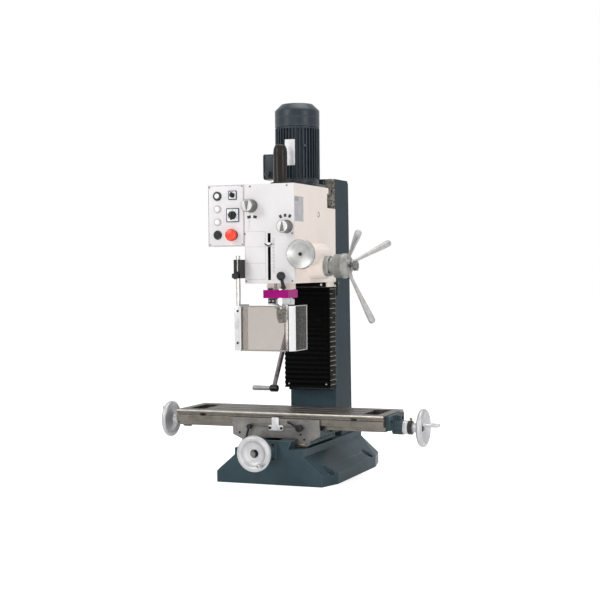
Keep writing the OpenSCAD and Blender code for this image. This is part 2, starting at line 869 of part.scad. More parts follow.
// One of the three star levers, its outer end thick and rounded
module star_lever(turn) {
    rise = star_tip_x - star_x;
    lean = atan2(rise, star_reach);
    len = norm([rise, star_reach]);
    translate([star_x, pinion_y, pinion_z]) rotate([-turn, 0, 0]) rotate([0, lean, 0]) {
        translate([0, 0, 28]) cylinder(d1 = 11, d2 = 25, h = len - 40);
        translate([0, 0, len - 12]) sphere(d = 25);
    }
}

module star_handle() {
    color("#a6a7a6") {
        difference() {
            union() {
                bar_x(186.5, 216, pinion_y, pinion_z, 85);
                bar_x(216, 228, pinion_y, pinion_z, 90);
                translate([228, pinion_y, pinion_z]) rotate([0, 90, 0]) cylinder(d1 = 90, d2 = 68, h = 14);
            }
            bar_x(186, 243, pinion_y, pinion_z, 25);
        }
        for (a = lever_turn) {
            star_lever(a);
        }
    }
}

module clutch_knob() {
    color("#7f8080") {
        bar_x(star_x - 5, 256, pinion_y, pinion_z, 12);
        difference() {
            bar_x(256, 271, pinion_y, pinion_z, 37);
            for (a = [0 : 45 : 315]) {
                translate([255, pinion_y, pinion_z]) rotate([a, 0, 0]) translate([0, 0, 20.5])
                    rotate([0, 90, 0]) cylinder(d = 7, h = 17);
            }
        }
    }
}

module worm_wheel() {
    color("#b08a4a") difference() {
        translate([122, pinion_y, pinion_z]) rotate([90, 0, 90]) linear_extrude(20)
            rotate(7.5) gear_outline(24, gear_m * 0.98);
        bar_x(121, 143, pinion_y, pinion_z, 25 + 2 * fit);
    }
}

module fine_feed_wheel() {
    wheel_y = head_front - 42;
    color("#c3c4c4") {
        bar_y(132, wheel_y, -20, worm_z, 14);
        bar_y(132, -20, 96, worm_z, 19);
        bar_y(132, wheel_y + 16, -101, worm_z, 62);
        translate([132, wheel_y + 17, worm_z]) rotate([90, 0, 0]) difference() {
            rotate_extrude() polygon([
                [0, 0], [50, 0], [52.6, 2.6], [52.6, 14], [50, 17], [44, 17], [40, 14.5], [0, 12]
            ]);
            for (a = [0 : 10 : 350]) {
                rotate(a) translate([53.2, 0, -1]) cylinder(d = 2.4, h = 20);
            }
        }
    }
}

// A gear selector knob with its short shaft and shifting arm
module gear_knob(x, z) {
    bar_y(x, head_front - 46, head_front - 0.5, z, 47);
    bar_y(x, head_front - 1, head_front + 40, z, 14 - 2 * fit);
    block(x - 4, x + 4, head_front + 24, head_front + 34, z - 17, z);
}

module gear_knob_left() {
    color("#8d8d8a") gear_knob(-67, 983);
}

module gear_knob_right() {
    color("#8d8d8a") gear_knob(67, 907.5);
}

module quill_lock() {
    color("#17191b") translate([0, 0, lock_z]) rotate(lock_turn) {
        bar_y(0, -138, -42.5, 0, 9);
        bar_y(0, -138, -128, 0, 15);
        translate([0, -133, 0]) rotate([22, 0, 0]) rotate([0, -12, 0]) cylinder(d = 9, h = 42);
        translate([0, -133, 0]) rotate([22, 0, 0]) rotate([0, -12, 0]) translate([0, 0, 44])
            sphere(d = 32);
    }
}

module head_lock() {
    color("#232528") {
        bar_x(73, head_half + 18, 296, 703, 9);
        bar_x(head_half + 6, head_half + 18, 296, 703, 16);
        translate([head_half + 12, 296, 703]) rotate([180, 0, 0]) cylinder(d1 = 8, d2 = 10, h = 46);
    }
}

module guard_rod() {
    color("#d4d5d5") bar_z(rod_x0, rod_y0, guard_z, bracket_high + 14, 16);
}

module guard_knob() {
    color("#17191b") {
        bar_y(rod_x0, bracket_front - 20, rod_y0 - 9, knob_z, 8);
        difference() {
            bar_y(rod_x0, bracket_front - 21, bracket_front - 7, knob_z, 24);
            for (a = [0 : 60 : 300]) {
                translate([rod_x0, bracket_front - 22, knob_z]) rotate([0, a, 0]) translate([0, 0, 14])
                    rotate([-90, 0, 0]) cylinder(d = 7, h = 16);
            }
        }
    }
}

module guard_shield() {
    top = guard_z + guard_h;
    x0 = -95;
    x1 = x0 + guard_w;
    color([0.8, 0.82, 0.82, 0.55]) difference() {
        translate([0, 0, guard_z]) linear_extrude(guard_h) polygon([
            [x0, -88], [x0, -162], [x1, -162], [x1 + 20, -142], [x1 + 20, -27],
            [x1 + 20 - pane_t, -27], [x1 + 20 - pane_t, -141], [x1 - 2, -162 + pane_t],
            [x0 + pane_t, -162 + pane_t], [x0 + pane_t, -88]
        ]);
    }
    color("#c9caca") difference() {
        block(rod_x0 - 11, x0, rod_y0 - 12, rod_y0 + 12, guard_z + 0.5, top);
        bar_z(rod_x0, rod_y0, guard_z, top + 1, 16 + 2 * fit);
    }
}

// A push button: a round cap on a short plunger
module push_button(x, z, d, out) {
    bar_y(x, head_front - out, head_front - 3, z, d);
    bar_y(x, head_front - 3, head_front + 12, z, 18);
}

module start_button() {
    color("#f2f2f0") push_button(-200, 1021, 24, 9);
}

module stop_button() {
    color("#15171a") push_button(-200, 882, 26, 10);
}

module emergency_stop() {
    color("#e2302f") {
        push_button(-140, 881, 30, 16);
        translate([-140, head_front - 16, 881]) rotate([90, 0, 0]) cylinder(d1 = 44, d2 = 38, h = 13);
    }
}

// A rotary switch: a round boss with a raised pointer bar, on a short shaft
module rotary(z, d, turn) {
    bar_y(-140, head_front - 16, head_front - 3.4, z, d);
    bar_y(-140, head_front - 4, head_front + 12, z, 11);
    translate([-140, head_front - 20, z]) rotate([0, turn, 0]) block(-3.5, 3.5, 0, 6, -d / 2 + 2, d * 0.62);
}

module speed_switch() {
    color("#15171a") rotary(952, 30, 180);
}

module mode_switch() {
    color("#15171a") rotary(1023, 19, 0);
}

base_casting();
column();
column_bolts();
y_bracket();
bellows();
z_screw();
z_crank();
z_crank_grip();
y_screw();
y_handwheel();
y_grip();
saddle();
feed_nuts();
table_stop();
table_lock_left();
table_lock_right();
table();
table_bracket_left();
table_bracket_right();
stop_dogs();
x_screw();
x_handwheel_left();
x_handwheel_right();
x_grip();
head_casting();
front_panel();
control_box();
control_panel();
motor_housing();
fan_cowl();
drawbar_cap();
z_nut();
pinion_flange();
gear_bearings();
guard_bracket();
quill();
quill_collar();
depth_pointer();
spindle();
drill_chuck();
motor_rotor();
layshaft();
sleeve_gear();
pinion_shaft();
star_handle();
clutch_knob();
worm_wheel();
fine_feed_wheel();
gear_knob_left();
gear_knob_right();
quill_lock();
head_lock();
guard_rod();
guard_shield();
guard_knob();
start_button();
stop_button();
emergency_stop();
speed_switch();
mode_switch();
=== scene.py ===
import bpy
import bmesh
import math
import random
from mathutils import Matrix, Vector


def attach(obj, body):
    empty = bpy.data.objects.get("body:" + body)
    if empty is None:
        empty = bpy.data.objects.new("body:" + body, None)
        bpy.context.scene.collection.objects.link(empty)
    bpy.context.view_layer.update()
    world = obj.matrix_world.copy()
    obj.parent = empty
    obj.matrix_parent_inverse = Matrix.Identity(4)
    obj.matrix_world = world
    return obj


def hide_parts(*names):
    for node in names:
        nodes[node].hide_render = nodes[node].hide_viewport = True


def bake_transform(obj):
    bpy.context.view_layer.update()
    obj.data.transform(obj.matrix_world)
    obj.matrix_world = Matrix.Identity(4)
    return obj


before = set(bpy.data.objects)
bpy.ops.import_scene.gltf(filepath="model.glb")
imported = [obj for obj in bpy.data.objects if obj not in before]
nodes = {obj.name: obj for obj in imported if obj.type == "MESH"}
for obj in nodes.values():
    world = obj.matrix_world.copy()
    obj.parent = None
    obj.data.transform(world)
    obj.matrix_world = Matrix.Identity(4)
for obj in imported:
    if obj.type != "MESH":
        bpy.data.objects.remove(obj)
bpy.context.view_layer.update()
print("frame loaded,", len(nodes), "CAD nodes")

# All lengths below are millimetres in the CAD frame; closeMesh turns them to metres.
# The camera was solved on the photograph, whose frame is 600 by 600.
viewer = {"place": (1781.3, -4318.1, 758.7), "yaw": 21.6, "pitch": -1.376, "roll": -0.5, "lens": 77.73}
toLeft, toRight, toFront, toBack, toTop = (-1, 0, 0), (1, 0, 0), (0, -1, 0), (0, 1, 0), (0, 0, 1)
panelFace = -108  # y of the front panel's and the control plate's face
sideFace = 95  # x of the head's right side


def aimCamera(settings):
    yaw, pitch, roll = (math.radians(settings[key]) for key in ("yaw", "pitch", "roll"))
    forward = Vector((-math.sin(yaw) * math.cos(pitch), math.cos(yaw) * math.cos(pitch), math.sin(pitch)))
    right = Vector((math.cos(yaw), math.sin(yaw), 0))
    up = right.cross(forward)
    tiltedRight = math.cos(roll) * right + math.sin(roll) * up
    tiltedUp = math.cos(roll) * up - math.sin(roll) * right
    data = bpy.data.cameras.new("photoCamera")
    data.lens = settings["lens"]
    data.sensor_width = 36
    data.clip_end = 100
    camera = bpy.data.objects.new("photoCamera", data)
    basis = Matrix((tiltedRight, tiltedUp, -forward)).transposed()
    camera.matrix_world = Matrix.Translation(Vector(settings["place"]) / 1000) @ basis.to_4x4()
    bpy.context.scene.collection.objects.link(camera)
    bpy.context.scene.camera = camera


aimCamera(viewer)
print("camera placed")


# sRGB hex to the linear colour that shaders take
def hexColor(code):
    parts = [int(code[i:i + 2], 16) / 255 for i in (1, 3, 5)]
    return tuple(p / 12.92 if p <= 0.04045 else ((p + 0.055) / 1.055) ** 2.4 for p in parts) + (1.0,)


# The scale of a pattern whose marks are this many millimetres across
def markScale(size):
    return 1000 / size


# One node: settings are its own properties, links its inputs, each a constant or another node's output
def addNode(tree, kind, links=None, **settings):
    node = tree.nodes.new(kind)
    for key, value in settings.items():
        setattr(node, key, value)
    for key, value in (links or {}).items():
        if isinstance(value, bpy.types.NodeSocket):
            tree.links.new(value, node.inputs[key])
        else:
            node.inputs[key].default_value = value
    return node


def startMaterial(name, constants):
    material = bpy.data.materials.new(name)
    material.use_nodes = True
    tree = material.node_tree
    for key, value in constants.items():
        tree.nodes["Principled BSDF"].inputs[key].default_value = value
    coords = addNode(tree, "ShaderNodeTexCoord").outputs["Object"]
    return material, tree, coords


# How most finishes end: colour between deep and light by tone, roughness within the gloss range by patch,
# and a relief whose depth is in metres
def closeMaterial(material, settings, tone, patch, span=(0.3, 0.7), relief=None, strength=0.08, depth=0.0002):
    tree = material.node_tree
    shader = tree.nodes["Principled BSDF"]
    colour = addNode(tree, "ShaderNodeMix",
                     {0: tone, 6: hexColor(settings["deep"]), 7: hexColor(settings["light"])},
                     data_type="RGBA")
    rough = addNode(tree, "ShaderNodeMapRange", {"Value": patch, "From Min": span[0], "From Max": span[1],
                    "To Min": settings["gloss"][0], "To Max": settings["gloss"][1]})
    tree.links.new(colour.outputs[2], shader.inputs["Base Color"])
    tree.links.new(rough.outputs[0], shader.inputs["Roughness"])
    if relief is not None:
        bump = addNode(tree, "ShaderNodeBump", {"Height": relief, "Strength": strength, "Distance": depth})
        tree.links.new(bump.outputs["Normal"], shader.inputs["Normal"])
    return material


# Sprayed two-coat enamel on cast iron: a soft gloss, a faint orange peel about 4 mm across, grime in
# 14 mm patches, colour that clouds over some 60 mm, and edges painted paler, partly as a coat thinned by use
# and partly as a painted highlight.
def castingEnamel(name, settings):
    material, tree, coords = startMaterial(name, {"Specular IOR Level": settings["specular"]})
    shader = tree.nodes["Principled BSDF"]
    cloud = addNode(tree, "ShaderNodeTexNoise",
                    {"Vector": coords, "Scale": markScale(62.5), "Detail": 4, "Roughness": 0.6})
    peel = addNode(tree, "ShaderNodeTexNoise", {"Vector": coords, "Scale": markScale(4.167), "Detail": 2})
    grime = addNode(tree, "ShaderNodeTexNoise",
                    {"Vector": coords, "Scale": markScale(14.286), "Detail": 6, "Roughness": 0.7})
    body = addNode(tree, "ShaderNodeMix", {0: cloud.outputs["Fac"], 6: hexColor(settings["deep"]),
                   7: hexColor(settings["light"])}, data_type="RGBA").outputs[2]
    rounded = addNode(tree, "ShaderNodeBevel", {"Radius": 0.0022}, samples=4)
    flat = addNode(tree, "ShaderNodeNewGeometry")
    match = addNode(tree, "ShaderNodeVectorMath",
                    {0: rounded.outputs["Normal"], 1: flat.outputs["True Normal"]},
                    operation="DOT_PRODUCT").outputs["Value"]
    # edges, where the rounded normal leaves the flat one, are painted paler: partly thinned coat, partly
    # painted highlight
    edge = addNode(tree, "ShaderNodeMapRange", {"Value": match, "From Min": 0.985, "From Max": 0.80,
                   "To Min": 0.0, "To Max": settings["edgeWearAndHighlight"]}).outputs[0]
    wornAndLitEdge = addNode(tree, "ShaderNodeMath", {0: edge, 1: grime.outputs["Fac"]},
                   operation="MULTIPLY").outputs[0]
    coat = addNode(tree, "ShaderNodeMix", {0: wornAndLitEdge, 6: body, 7: hexColor(settings["edge"])},
                   data_type="RGBA").outputs[2]
    gloss = addNode(tree, "ShaderNodeMapRange",
                    {"Value": grime.outputs["Fac"], "From Min": 0.3, "From Max": 0.7,
                     "To Min": settings["gloss"][0], "To Max": settings["gloss"][1]}).outputs[0]
    bump = addNode(tree, "ShaderNodeBump", {"Height": peel.outputs["Fac"], "Strength": 0.12,
                                            "Distance": 0.0006, "Normal": rounded.outputs["Normal"]})
    tree.links.new(coat, shader.inputs["Base Color"])
    tree.links.new(gloss, shader.inputs["Roughness"])
    tree.links.new(bump.outputs["Normal"], shader.inputs["Normal"])
    return material


# The column's enamel stops at the ways: these are hand-scraped iron, blotched grey and brown with oil.
# They are what lies in front, above the foot and far enough beside the middle, in metres.
scrapedWays = {"front": 0.3133, "foot": 0.322, "beside": 0.056}


def columnEnamel(name, settings):
    material = castingEnamel(name, settings)
    tree = material.node_tree
    shader = tree.nodes["Principled BSDF"]
    coords = addNode(tree, "ShaderNodeTexCoord").outputs["Object"]
    axes = addNode(tree, "ShaderNodeSeparateXYZ", {"Vector": coords})
    front = addNode(tree, "ShaderNodeMath", {0: axes.outputs["Y"], 1: scrapedWays["front"]},
                    operation="LESS_THAN").outputs[0]
    high = addNode(tree, "ShaderNodeMath", {0: axes.outputs["Z"], 1: scrapedWays["foot"]},
                   operation="GREATER_THAN").outputs[0]
    aside = addNode(tree, "ShaderNodeMath", {0: axes.outputs["X"]}, operation="ABSOLUTE").outputs[0]
    outer = addNode(tree, "ShaderNodeMath", {0: aside, 1: scrapedWays["beside"]},
                    operation="GREATER_THAN").outputs[0]
    face = addNode(tree, "ShaderNodeMath", {0: front, 1: high}, operation="MULTIPLY").outputs[0]
    way = addNode(tree, "ShaderNodeMath", {0: face, 1: outer}, operation="MULTIPLY").outputs[0]
    # scraper marks are about 5 mm; drawn at 7 mm so that they show
    mark = addNode(tree, "ShaderNodeTexVoronoi",
                   {"Vector": coords, "Scale": markScale(6.667), "Randomness": 1.0})
    blot = addNode(tree, "ShaderNodeTexNoise",
                   {"Vector": coords, "Scale": markScale(8.333), "Detail": 4, "Roughness": 0.7})
    grain = addNode(tree, "ShaderNodeMix", {0: mark.outputs["Color"], 6: blot.outputs["Color"],
                    7: mark.outputs["Color"]}, data_type="RGBA").outputs[2]
    tone = addNode(tree, "ShaderNodeValToRGB", {"Fac": grain})
    for stop, position, code in zip(tone.color_ramp.elements, (0.34, 0.62), ("#262627", "#A8A49C")):
        stop.position = position
        stop.color = hexColor(code)
    coat = shader.inputs["Base Color"].links[0].from_socket
    gloss = shader.inputs["Roughness"].links[0].from_socket
    colour = addNode(tree, "ShaderNodeMix", {0: way, 6: coat, 7: tone.outputs["Color"]}, data_type="RGBA")
    rough = addNode(tree, "ShaderNodeMix", {0: way, 2: gloss, 3: 0.42}, data_type="FLOAT")
    metal = addNode(tree, "ShaderNodeMath", {0: way, 1: 0.2}, operation="MULTIPLY")
    tree.links.new(colour.outputs[2], shader.inputs["Base Color"])
    tree.links.new(rough.outputs[0], shader.inputs["Roughness"])
    tree.links.new(metal.outputs[0], shader.inputs["Metallic"])
    return material


# Ground or planed iron: long fine streaks along one axis, oil clouds, a dull metal shine. Real grinding
# lines are under 0.1 mm wide; the streaks are 2 to 3 mm, with finer ones among them, so that they show.
def groundIron(name, settings):
    material, tree, coords = startMaterial(name, {"Metallic": settings.get("metal", 0.9),
                                                  "Specular IOR Level": settings.get("specular", 0.5)})
    fine = tuple(markScale(size) for size in settings["streak"])
    stretch = addNode(tree, "ShaderNodeMapping", {"Vector": coords, "Scale": fine})
    streak = addNode(tree, "ShaderNodeTexNoise", {"Vector": stretch.outputs[0], "Scale": 1, "Detail": 5,
                     "Roughness": 0.65}).outputs["Fac"]
    oil = addNode(tree, "ShaderNodeTexNoise",
                  {"Vector": coords, "Scale": markScale(45.45), "Detail": 4, "Roughness": 0.6})
    both = addNode(tree, "ShaderNodeMath", {0: streak, 1: 0.6, 2: oil.outputs["Fac"]},
                   operation="MULTIPLY_ADD").outputs[0]
    tone = addNode(tree, "ShaderNodeMapRange", {"Value": both, "From Min": 0.55, "From Max": 1.05}).outputs[0]
    return closeMaterial(material, settings, tone, streak, relief=streak, strength=0.25, depth=0.0003)


# Turned aluminium or steel: tool rings about its axis, some 0.3 mm apart but drawn 1.6 mm apart to show,
# with small stains, so that light runs round it in fine bright and dark bands.
def turnedMetal(name, settings):
    material, tree, coords = startMaterial(name, {"Metallic": settings.get("metal", 0.55)})
    centre = Vector(settings["centre"]) / 1000
    keep = {"x": (0, 1, 1), "y": (1, 0, 1), "z": (1, 1, 0)}[settings["axis"]]
    moved = addNode(tree, "ShaderNodeVectorMath", {0: coords, 1: centre}, operation="SUBTRACT").outputs[0]
    flat = addNode(tree, "ShaderNodeVectorMath", {0: moved, 1: keep}, operation="MULTIPLY").outputs[0]
    reach = addNode(tree, "ShaderNodeVectorMath", {0: flat}, operation="LENGTH").outputs["Value"]
    along = addNode(tree, "ShaderNodeVectorMath", {0: moved, 1: tuple(1 - k for k in keep)},
                    operation="DOT_PRODUCT").outputs["Value"]
    spot = addNode(tree, "ShaderNodeCombineXYZ", {"X": reach, "Y": along}).outputs[0]
    ring = addNode(tree, "ShaderNodeTexNoise",
                   {"Vector": spot, "Scale": markScale(1.613), "Detail": 3}).outputs["Fac"]
    stain = addNode(tree, "ShaderNodeTexNoise",
                    {"Vector": coords, "Scale": markScale(35.71), "Detail": 3, "Roughness": 0.55})
    both = addNode(tree, "ShaderNodeMath", {0: ring, 1: stain.outputs["Fac"]}, operation="ADD").outputs[0]
    tone = addNode(tree, "ShaderNodeMapRange", {"Value": both, "From Min": 0.75, "From Max": 1.25}).outputs[0]
    return closeMaterial(material, settings, tone, ring, relief=ring)


# Plain metal, drawn, plated, blackened or cast: small stains cloud its shine, and the metal and gloss
# values set how bright and sharp that is.
def wornMetal(name, settings):
    material, tree, coords = startMaterial(name, {"Metallic": settings.get("metal", 1.0)})
    stain = addNode(tree, "ShaderNodeTexNoise", {"Vector": coords, "Scale": markScale(22.22), "Detail": 3,
                    "Roughness": 0.55}).outputs["Fac"]
    tone = addNode(tree, "ShaderNodeMapRange", {"Value": stain, "From Min": 0.3, "From Max": 0.7}).outputs[0]
    return closeMaterial(material, settings, tone, tone, (0, 1), stain, 0.04, 0.0003)


# Moulded plastic or a satin painted sheet: an even colour, a slightly uneven sheen and a fine pebble skin,
# whose 0.4 mm grain is drawn at 1.2 mm.
def mouldedSkin(name, settings):
    material, tree, coords = startMaterial(name, {"Specular IOR Level": settings.get("specular", 0.5)})
    grain = addNode(tree, "ShaderNodeTexNoise",
                    {"Vector": coords, "Scale": markScale(1.2195), "Detail": 2}).outputs["Fac"]
    cloud = addNode(tree, "ShaderNodeTexNoise",
                    {"Vector": coords, "Scale": markScale(33.33), "Detail": 3}).outputs["Fac"]
    return closeMaterial(material, settings, cloud, cloud, relief=grain, strength=0.12)


# Rubber of the way cover: near black, a soft sheen on the folds, a fine ribbed skin drawn at 1.5 mm.
def pleatedRubber(name, settings):
    material, tree, coords = startMaterial(name, {"Sheen Weight": 0.02, "Sheen Roughness": 0.4,
                                                  "Specular IOR Level": 0.02})
    # a wave of scale 1 repeats every pi / 10
    rib = addNode(tree, "ShaderNodeTexWave",
                  {"Vector": coords, "Scale": math.pi / 10 * markScale(1.496), "Distortion": 0.6},
                  bands_direction="X").outputs["Fac"]
    dust = addNode(tree, "ShaderNodeTexNoise", {"Vector": coords, "Scale": markScale(22.22), "Detail": 5,
                   "Roughness": 0.7}).outputs["Fac"]
    return closeMaterial(material, settings, dust, dust, relief=rib)


# Clear polycarbonate sheet, slightly smoked and scuffed: the eye gets a grey veil, brighter at its edges.
def smokedSheet(name, settings):
    material, tree, coords = startMaterial(name, {"IOR": settings.get("bend", 1.45),
                                                  "Transmission Weight": settings["clear"]})
    scuff = addNode(tree, "ShaderNodeTexNoise", {"Vector": coords, "Scale": markScale(28.57), "Detail": 6,
                    "Roughness": 0.7}).outputs["Fac"]
    return closeMaterial(material, settings, scuff, scuff, (0.35, 0.7))


recipes = {
    # enamels: dark blue-grey castings with pale edges, partly thinned coat and partly painted highlight, and a
    # warm white head
    "baseEnamel": (castingEnamel, {"deep": "#344349", "light": "#46585F", "edge": "#A4B4BC",
                                   "gloss": (0.26, 0.4), "specular": 0.03, "edgeWearAndHighlight": 0.8}),
    "columnEnamel": (columnEnamel, {"deep": "#2A353C", "light": "#3A4850", "edge": "#98ABB6",
                                    "gloss": (0.26, 0.4), "specular": 0.02, "edgeWearAndHighlight": 0.8}),
    # the column's enamel again, a tone lighter for its front face: painted light
    "litFrontEnamel": (columnEnamel, {"deep": "#35464D", "light": "#4A5E67", "edge": "#98ABB6",
                                   "gloss": (0.26, 0.4), "specular": 0.03, "edgeWearAndHighlight": 0.8}),
    "motorEnamel": (castingEnamel, {"deep": "#1B242B", "light": "#2A353E", "edge": "#7F92A0",
                                    "gloss": (0.3, 0.42), "specular": 0.3, "edgeWearAndHighlight": 0.6}),
    "headEnamel": (castingEnamel, {"deep": "#F2E5DC", "light": "#FAF0E9", "edge": "#FCF8F3",
                                   "gloss": (0.3, 0.44), "specular": 0.3, "edgeWearAndHighlight": 0.4}),
    "panelPaint": (mouldedSkin, {"deep": "#E2DFE1", "light": "#EBE8EA", "gloss": (0.34, 0.44),
                                 "specular": 0.35}),
    "magentaEnamel": (mouldedSkin, {"deep": "#A20A78", "light": "#B90F8C", "gloss": (0.3, 0.4),
                                    "specular": 0.12}),
    # ground and planed iron: brown-grey and oily, the table's top painted darker than its edges as a painted
    # dark reflection, its lip a painted highlight;
    # streak is how long and wide the marks are in x, y and z
    "groundTable": (groundIron, {"deep": "#55514C", "light": "#77716A", "gloss": (0.2, 0.32),
                                 "streak": (333.3, 3.333, 3.333), "metal": 0.75}),
    "shadedGroundTop": (groundIron, {"deep": "#3B3936", "light": "#5E5B57", "gloss": (0.3, 0.42),
                               "streak": (333.3, 3.333, 3.333), "metal": 0.35, "specular": 0.03}),
    "oiledWay": (groundIron, {"deep": "#4A4033", "light": "#80725E", "gloss": (0.2, 0.35),
                              "streak": (16.67, 2, 2)}),
    "planedSaddle": (groundIron, {"deep": "#62605D", "light": "#82807D", "gloss": (0.34, 0.5),
                                  "streak": (33.33, 2.5, 2.5), "metal": 0.6}),
    "oiledScrew": (groundIron, {"deep": "#55514D", "light": "#7E7A75", "gloss": (0.24, 0.38),
                                "streak": (3.333, 3.333, 3.333)}),
    # the bright strip on the table's front top edge: painted highlight
    "lipHighlight": (wornMetal, {"deep": "#B9B3A8", "light": "#D8D2C8", "gloss": (0.3, 0.4), "metal": 0.35}),
    # small metal parts, from blackened screws to plated rods; the lower metal values are dull, hazy surfaces
    "blackSteel": (wornMetal, {"deep": "#17191B", "light": "#2A2D30", "gloss": (0.28, 0.42), "metal": 0.6}),
    "satinSteel": (wornMetal, {"deep": "#A09F9E", "light": "#B9B8B7", "gloss": (0.4, 0.5), "metal": 0.35}),
    "castAluminium": (wornMetal, {"deep": "#8C8C89", "light": "#A6A6A2", "gloss": (0.46, 0.58),
                                  "metal": 0.35}),
    "clutchSteel": (wornMetal, {"deep": "#5C5D5C", "light": "#7F807E", "gloss": (0.3, 0.42), "metal": 0.7}),
    "groundRod": (wornMetal, {"deep": "#B1ADA8", "light": "#CBC7C2", "gloss": (0.18, 0.28), "metal": 0.8}),
    "chuckSteel": (wornMetal, {"deep": "#6A6B6B", "light": "#8C8D8D", "gloss": (0.16, 0.26), "metal": 0.95}),
    "dullSteel": (wornMetal, {"deep": "#6A6065", "light": "#8E858A", "gloss": (0.26, 0.38), "metal": 0.7}),
    "brightPlate": (wornMetal, {"deep": "#B4B6B7", "light": "#D2D4D5", "gloss": (0.08, 0.18)}),
    "gearSteel": (wornMetal, {"deep": "#7E8082", "light": "#A6A8AA", "gloss": (0.25, 0.4)}),
    "bronze": (wornMetal, {"deep": "#7E6338", "light": "#A78752", "gloss": (0.3, 0.45)}),
    "barePlate": (wornMetal, {"deep": "#C2C1C3", "light": "#D9D8DA", "gloss": (0.3, 0.42), "metal": 0.35}),
    "sidePlate": (wornMetal, {"deep": "#A5A3A8", "light": "#BEBCC1", "gloss": (0.3, 0.42), "metal": 0.35}),
    # moulded knobs, covers and buttons: an even colour and a satin skin
    "blackPlastic": (mouldedSkin, {"deep": "#0F1113", "light": "#191B1E", "gloss": (0.32, 0.45),
                                   "specular": 0.35}),
    "capPlastic": (mouldedSkin, {"deep": "#1B1816", "light": "#25211E", "gloss": (0.24, 0.34),
                                 "specular": 0.18}),
    "whitePlastic": (mouldedSkin, {"deep": "#EFEFED", "light": "#F8F8F6", "gloss": (0.2, 0.32)}),
    "greyPlastic": (mouldedSkin, {"deep": "#B8B5B4", "light": "#C8C5C4", "gloss": (0.25, 0.38)}),
    "redPlastic": (mouldedSkin, {"deep": "#EA361C", "light": "#FA4C2C", "gloss": (0.2, 0.32)}),
    "greenPlastic": (mouldedSkin, {"deep": "#082019", "light": "#0F3327", "gloss": (0.25, 0.36)}),
    # printed lines and marks, thin and matt
    "bluePrint": (mouldedSkin, {"deep": "#172449", "light": "#21325D", "gloss": (0.35, 0.5)}),
    "greyPrint": (mouldedSkin, {"deep": "#8F8D8E", "light": "#A09E9F", "gloss": (0.35, 0.5)}),
    "blackPrint": (mouldedSkin, {"deep": "#1A1A1C", "light": "#242427", "gloss": (0.35, 0.5)}),
    "wedgePrint": (mouldedSkin, {"deep": "#6A6B6C", "light": "#787979", "gloss": (0.3, 0.45)}),
    # the guard: a smoked pane, a clearer side, bends painted near white as a painted reflection, darker cut
    # edges; and the lamps' glass
    "clearSheet": (smokedSheet, {"deep": "#B9B1AB", "light": "#C5BDB7", "gloss": (0.02, 0.08),
                                 "clear": 0.93}),
    "sideSheet": (smokedSheet, {"deep": "#C9C6C3", "light": "#D6D4D2", "gloss": (0.02, 0.06), "clear": 0.98,
                                "bend": 1.12}),
    "bendReflectionSheet": (smokedSheet, {"deep": "#F4F4F5", "light": "#FDFDFD", "gloss": (0.3, 0.5), "clear": 0.1}),
    "sheetEdge": (mouldedSkin, {"deep": "#85807C", "light": "#97928E", "gloss": (0.25, 0.4)}),
    "lampGlass": (smokedSheet, {"deep": "#F7F6F6", "light": "#FFFFFF", "gloss": (0.1, 0.2), "clear": 0.05}),
    # the way cover's rubber, and pale faces on its fold crests at the flanks: painted glints of light
    "bellowsRubber": (pleatedRubber, {"deep": "#060607", "light": "#0E0F10", "gloss": (0.34, 0.5)}),
    "foldGlint": (mouldedSkin, {"deep": "#7A7363", "light": "#AAA28D", "gloss": (0.4, 0.5), "specular": 0.2}),
}
finish = {name: make(name, settings) for name, (make, settings) in recipes.items()}
print(len(finish), "finishes made")


# A turned finish runs round its own piece's axis, so each piece adds its own
def addTurned(name, **settings):
    finish[name] = turnedMetal(name, settings)


# A solid from corners and faces, its sharp edges rounded by soft, added to a piece's mesh
def addSolid(mesh, corners, faces, soft=0.0, look=0, rounds=2, sharp=0.5):
    solid = bmesh.new()
    spots = [solid.verts.new(c) for c in corners]
    for face in faces:
        kept = [spots[k] for k in dict.fromkeys(face)]
        if len(kept) > 2:
            solid.faces.new(kept).material_index = look
    bmesh.ops.recalc_face_normals(solid, faces=solid.faces)
    if soft:
        edges = [e for e in solid.edges if len(e.link_faces) == 2 and e.calc_face_angle() > sharp]
        bmesh.ops.bevel(solid, geom=edges, offset=soft, segments=rounds, affect="EDGES", profile=0.5,
                        clamp_overlap=True, material=-1)
    holder = bpy.data.meshes.new("holder")
    solid.to_mesh(holder)
    solid.free()
    mesh.from_mesh(holder)
    bpy.data.meshes.remove(holder)


# Faces of a solid whose eight corners come as three nested pairs
boxFaces = [[0, 1, 3, 2], [4, 5, 7, 6], [0, 1, 5, 4], [2, 3, 7, 6], [0, 2, 6, 4], [1, 3, 7, 5]]


def polar(angle, radius=1):
    return Vector((radius * math.cos(angle), radius * math.sin(angle), 0))


# Points along an arc, from one angle to another in degrees
def arc(cx, cy, radius, start, stop, count):
    angles = [math.radians(start + (stop - start) * k / count) for k in range(count + 1)]
    return [(cx + radius * math.cos(a), cy + radius * math.sin(a)) for a in angles]


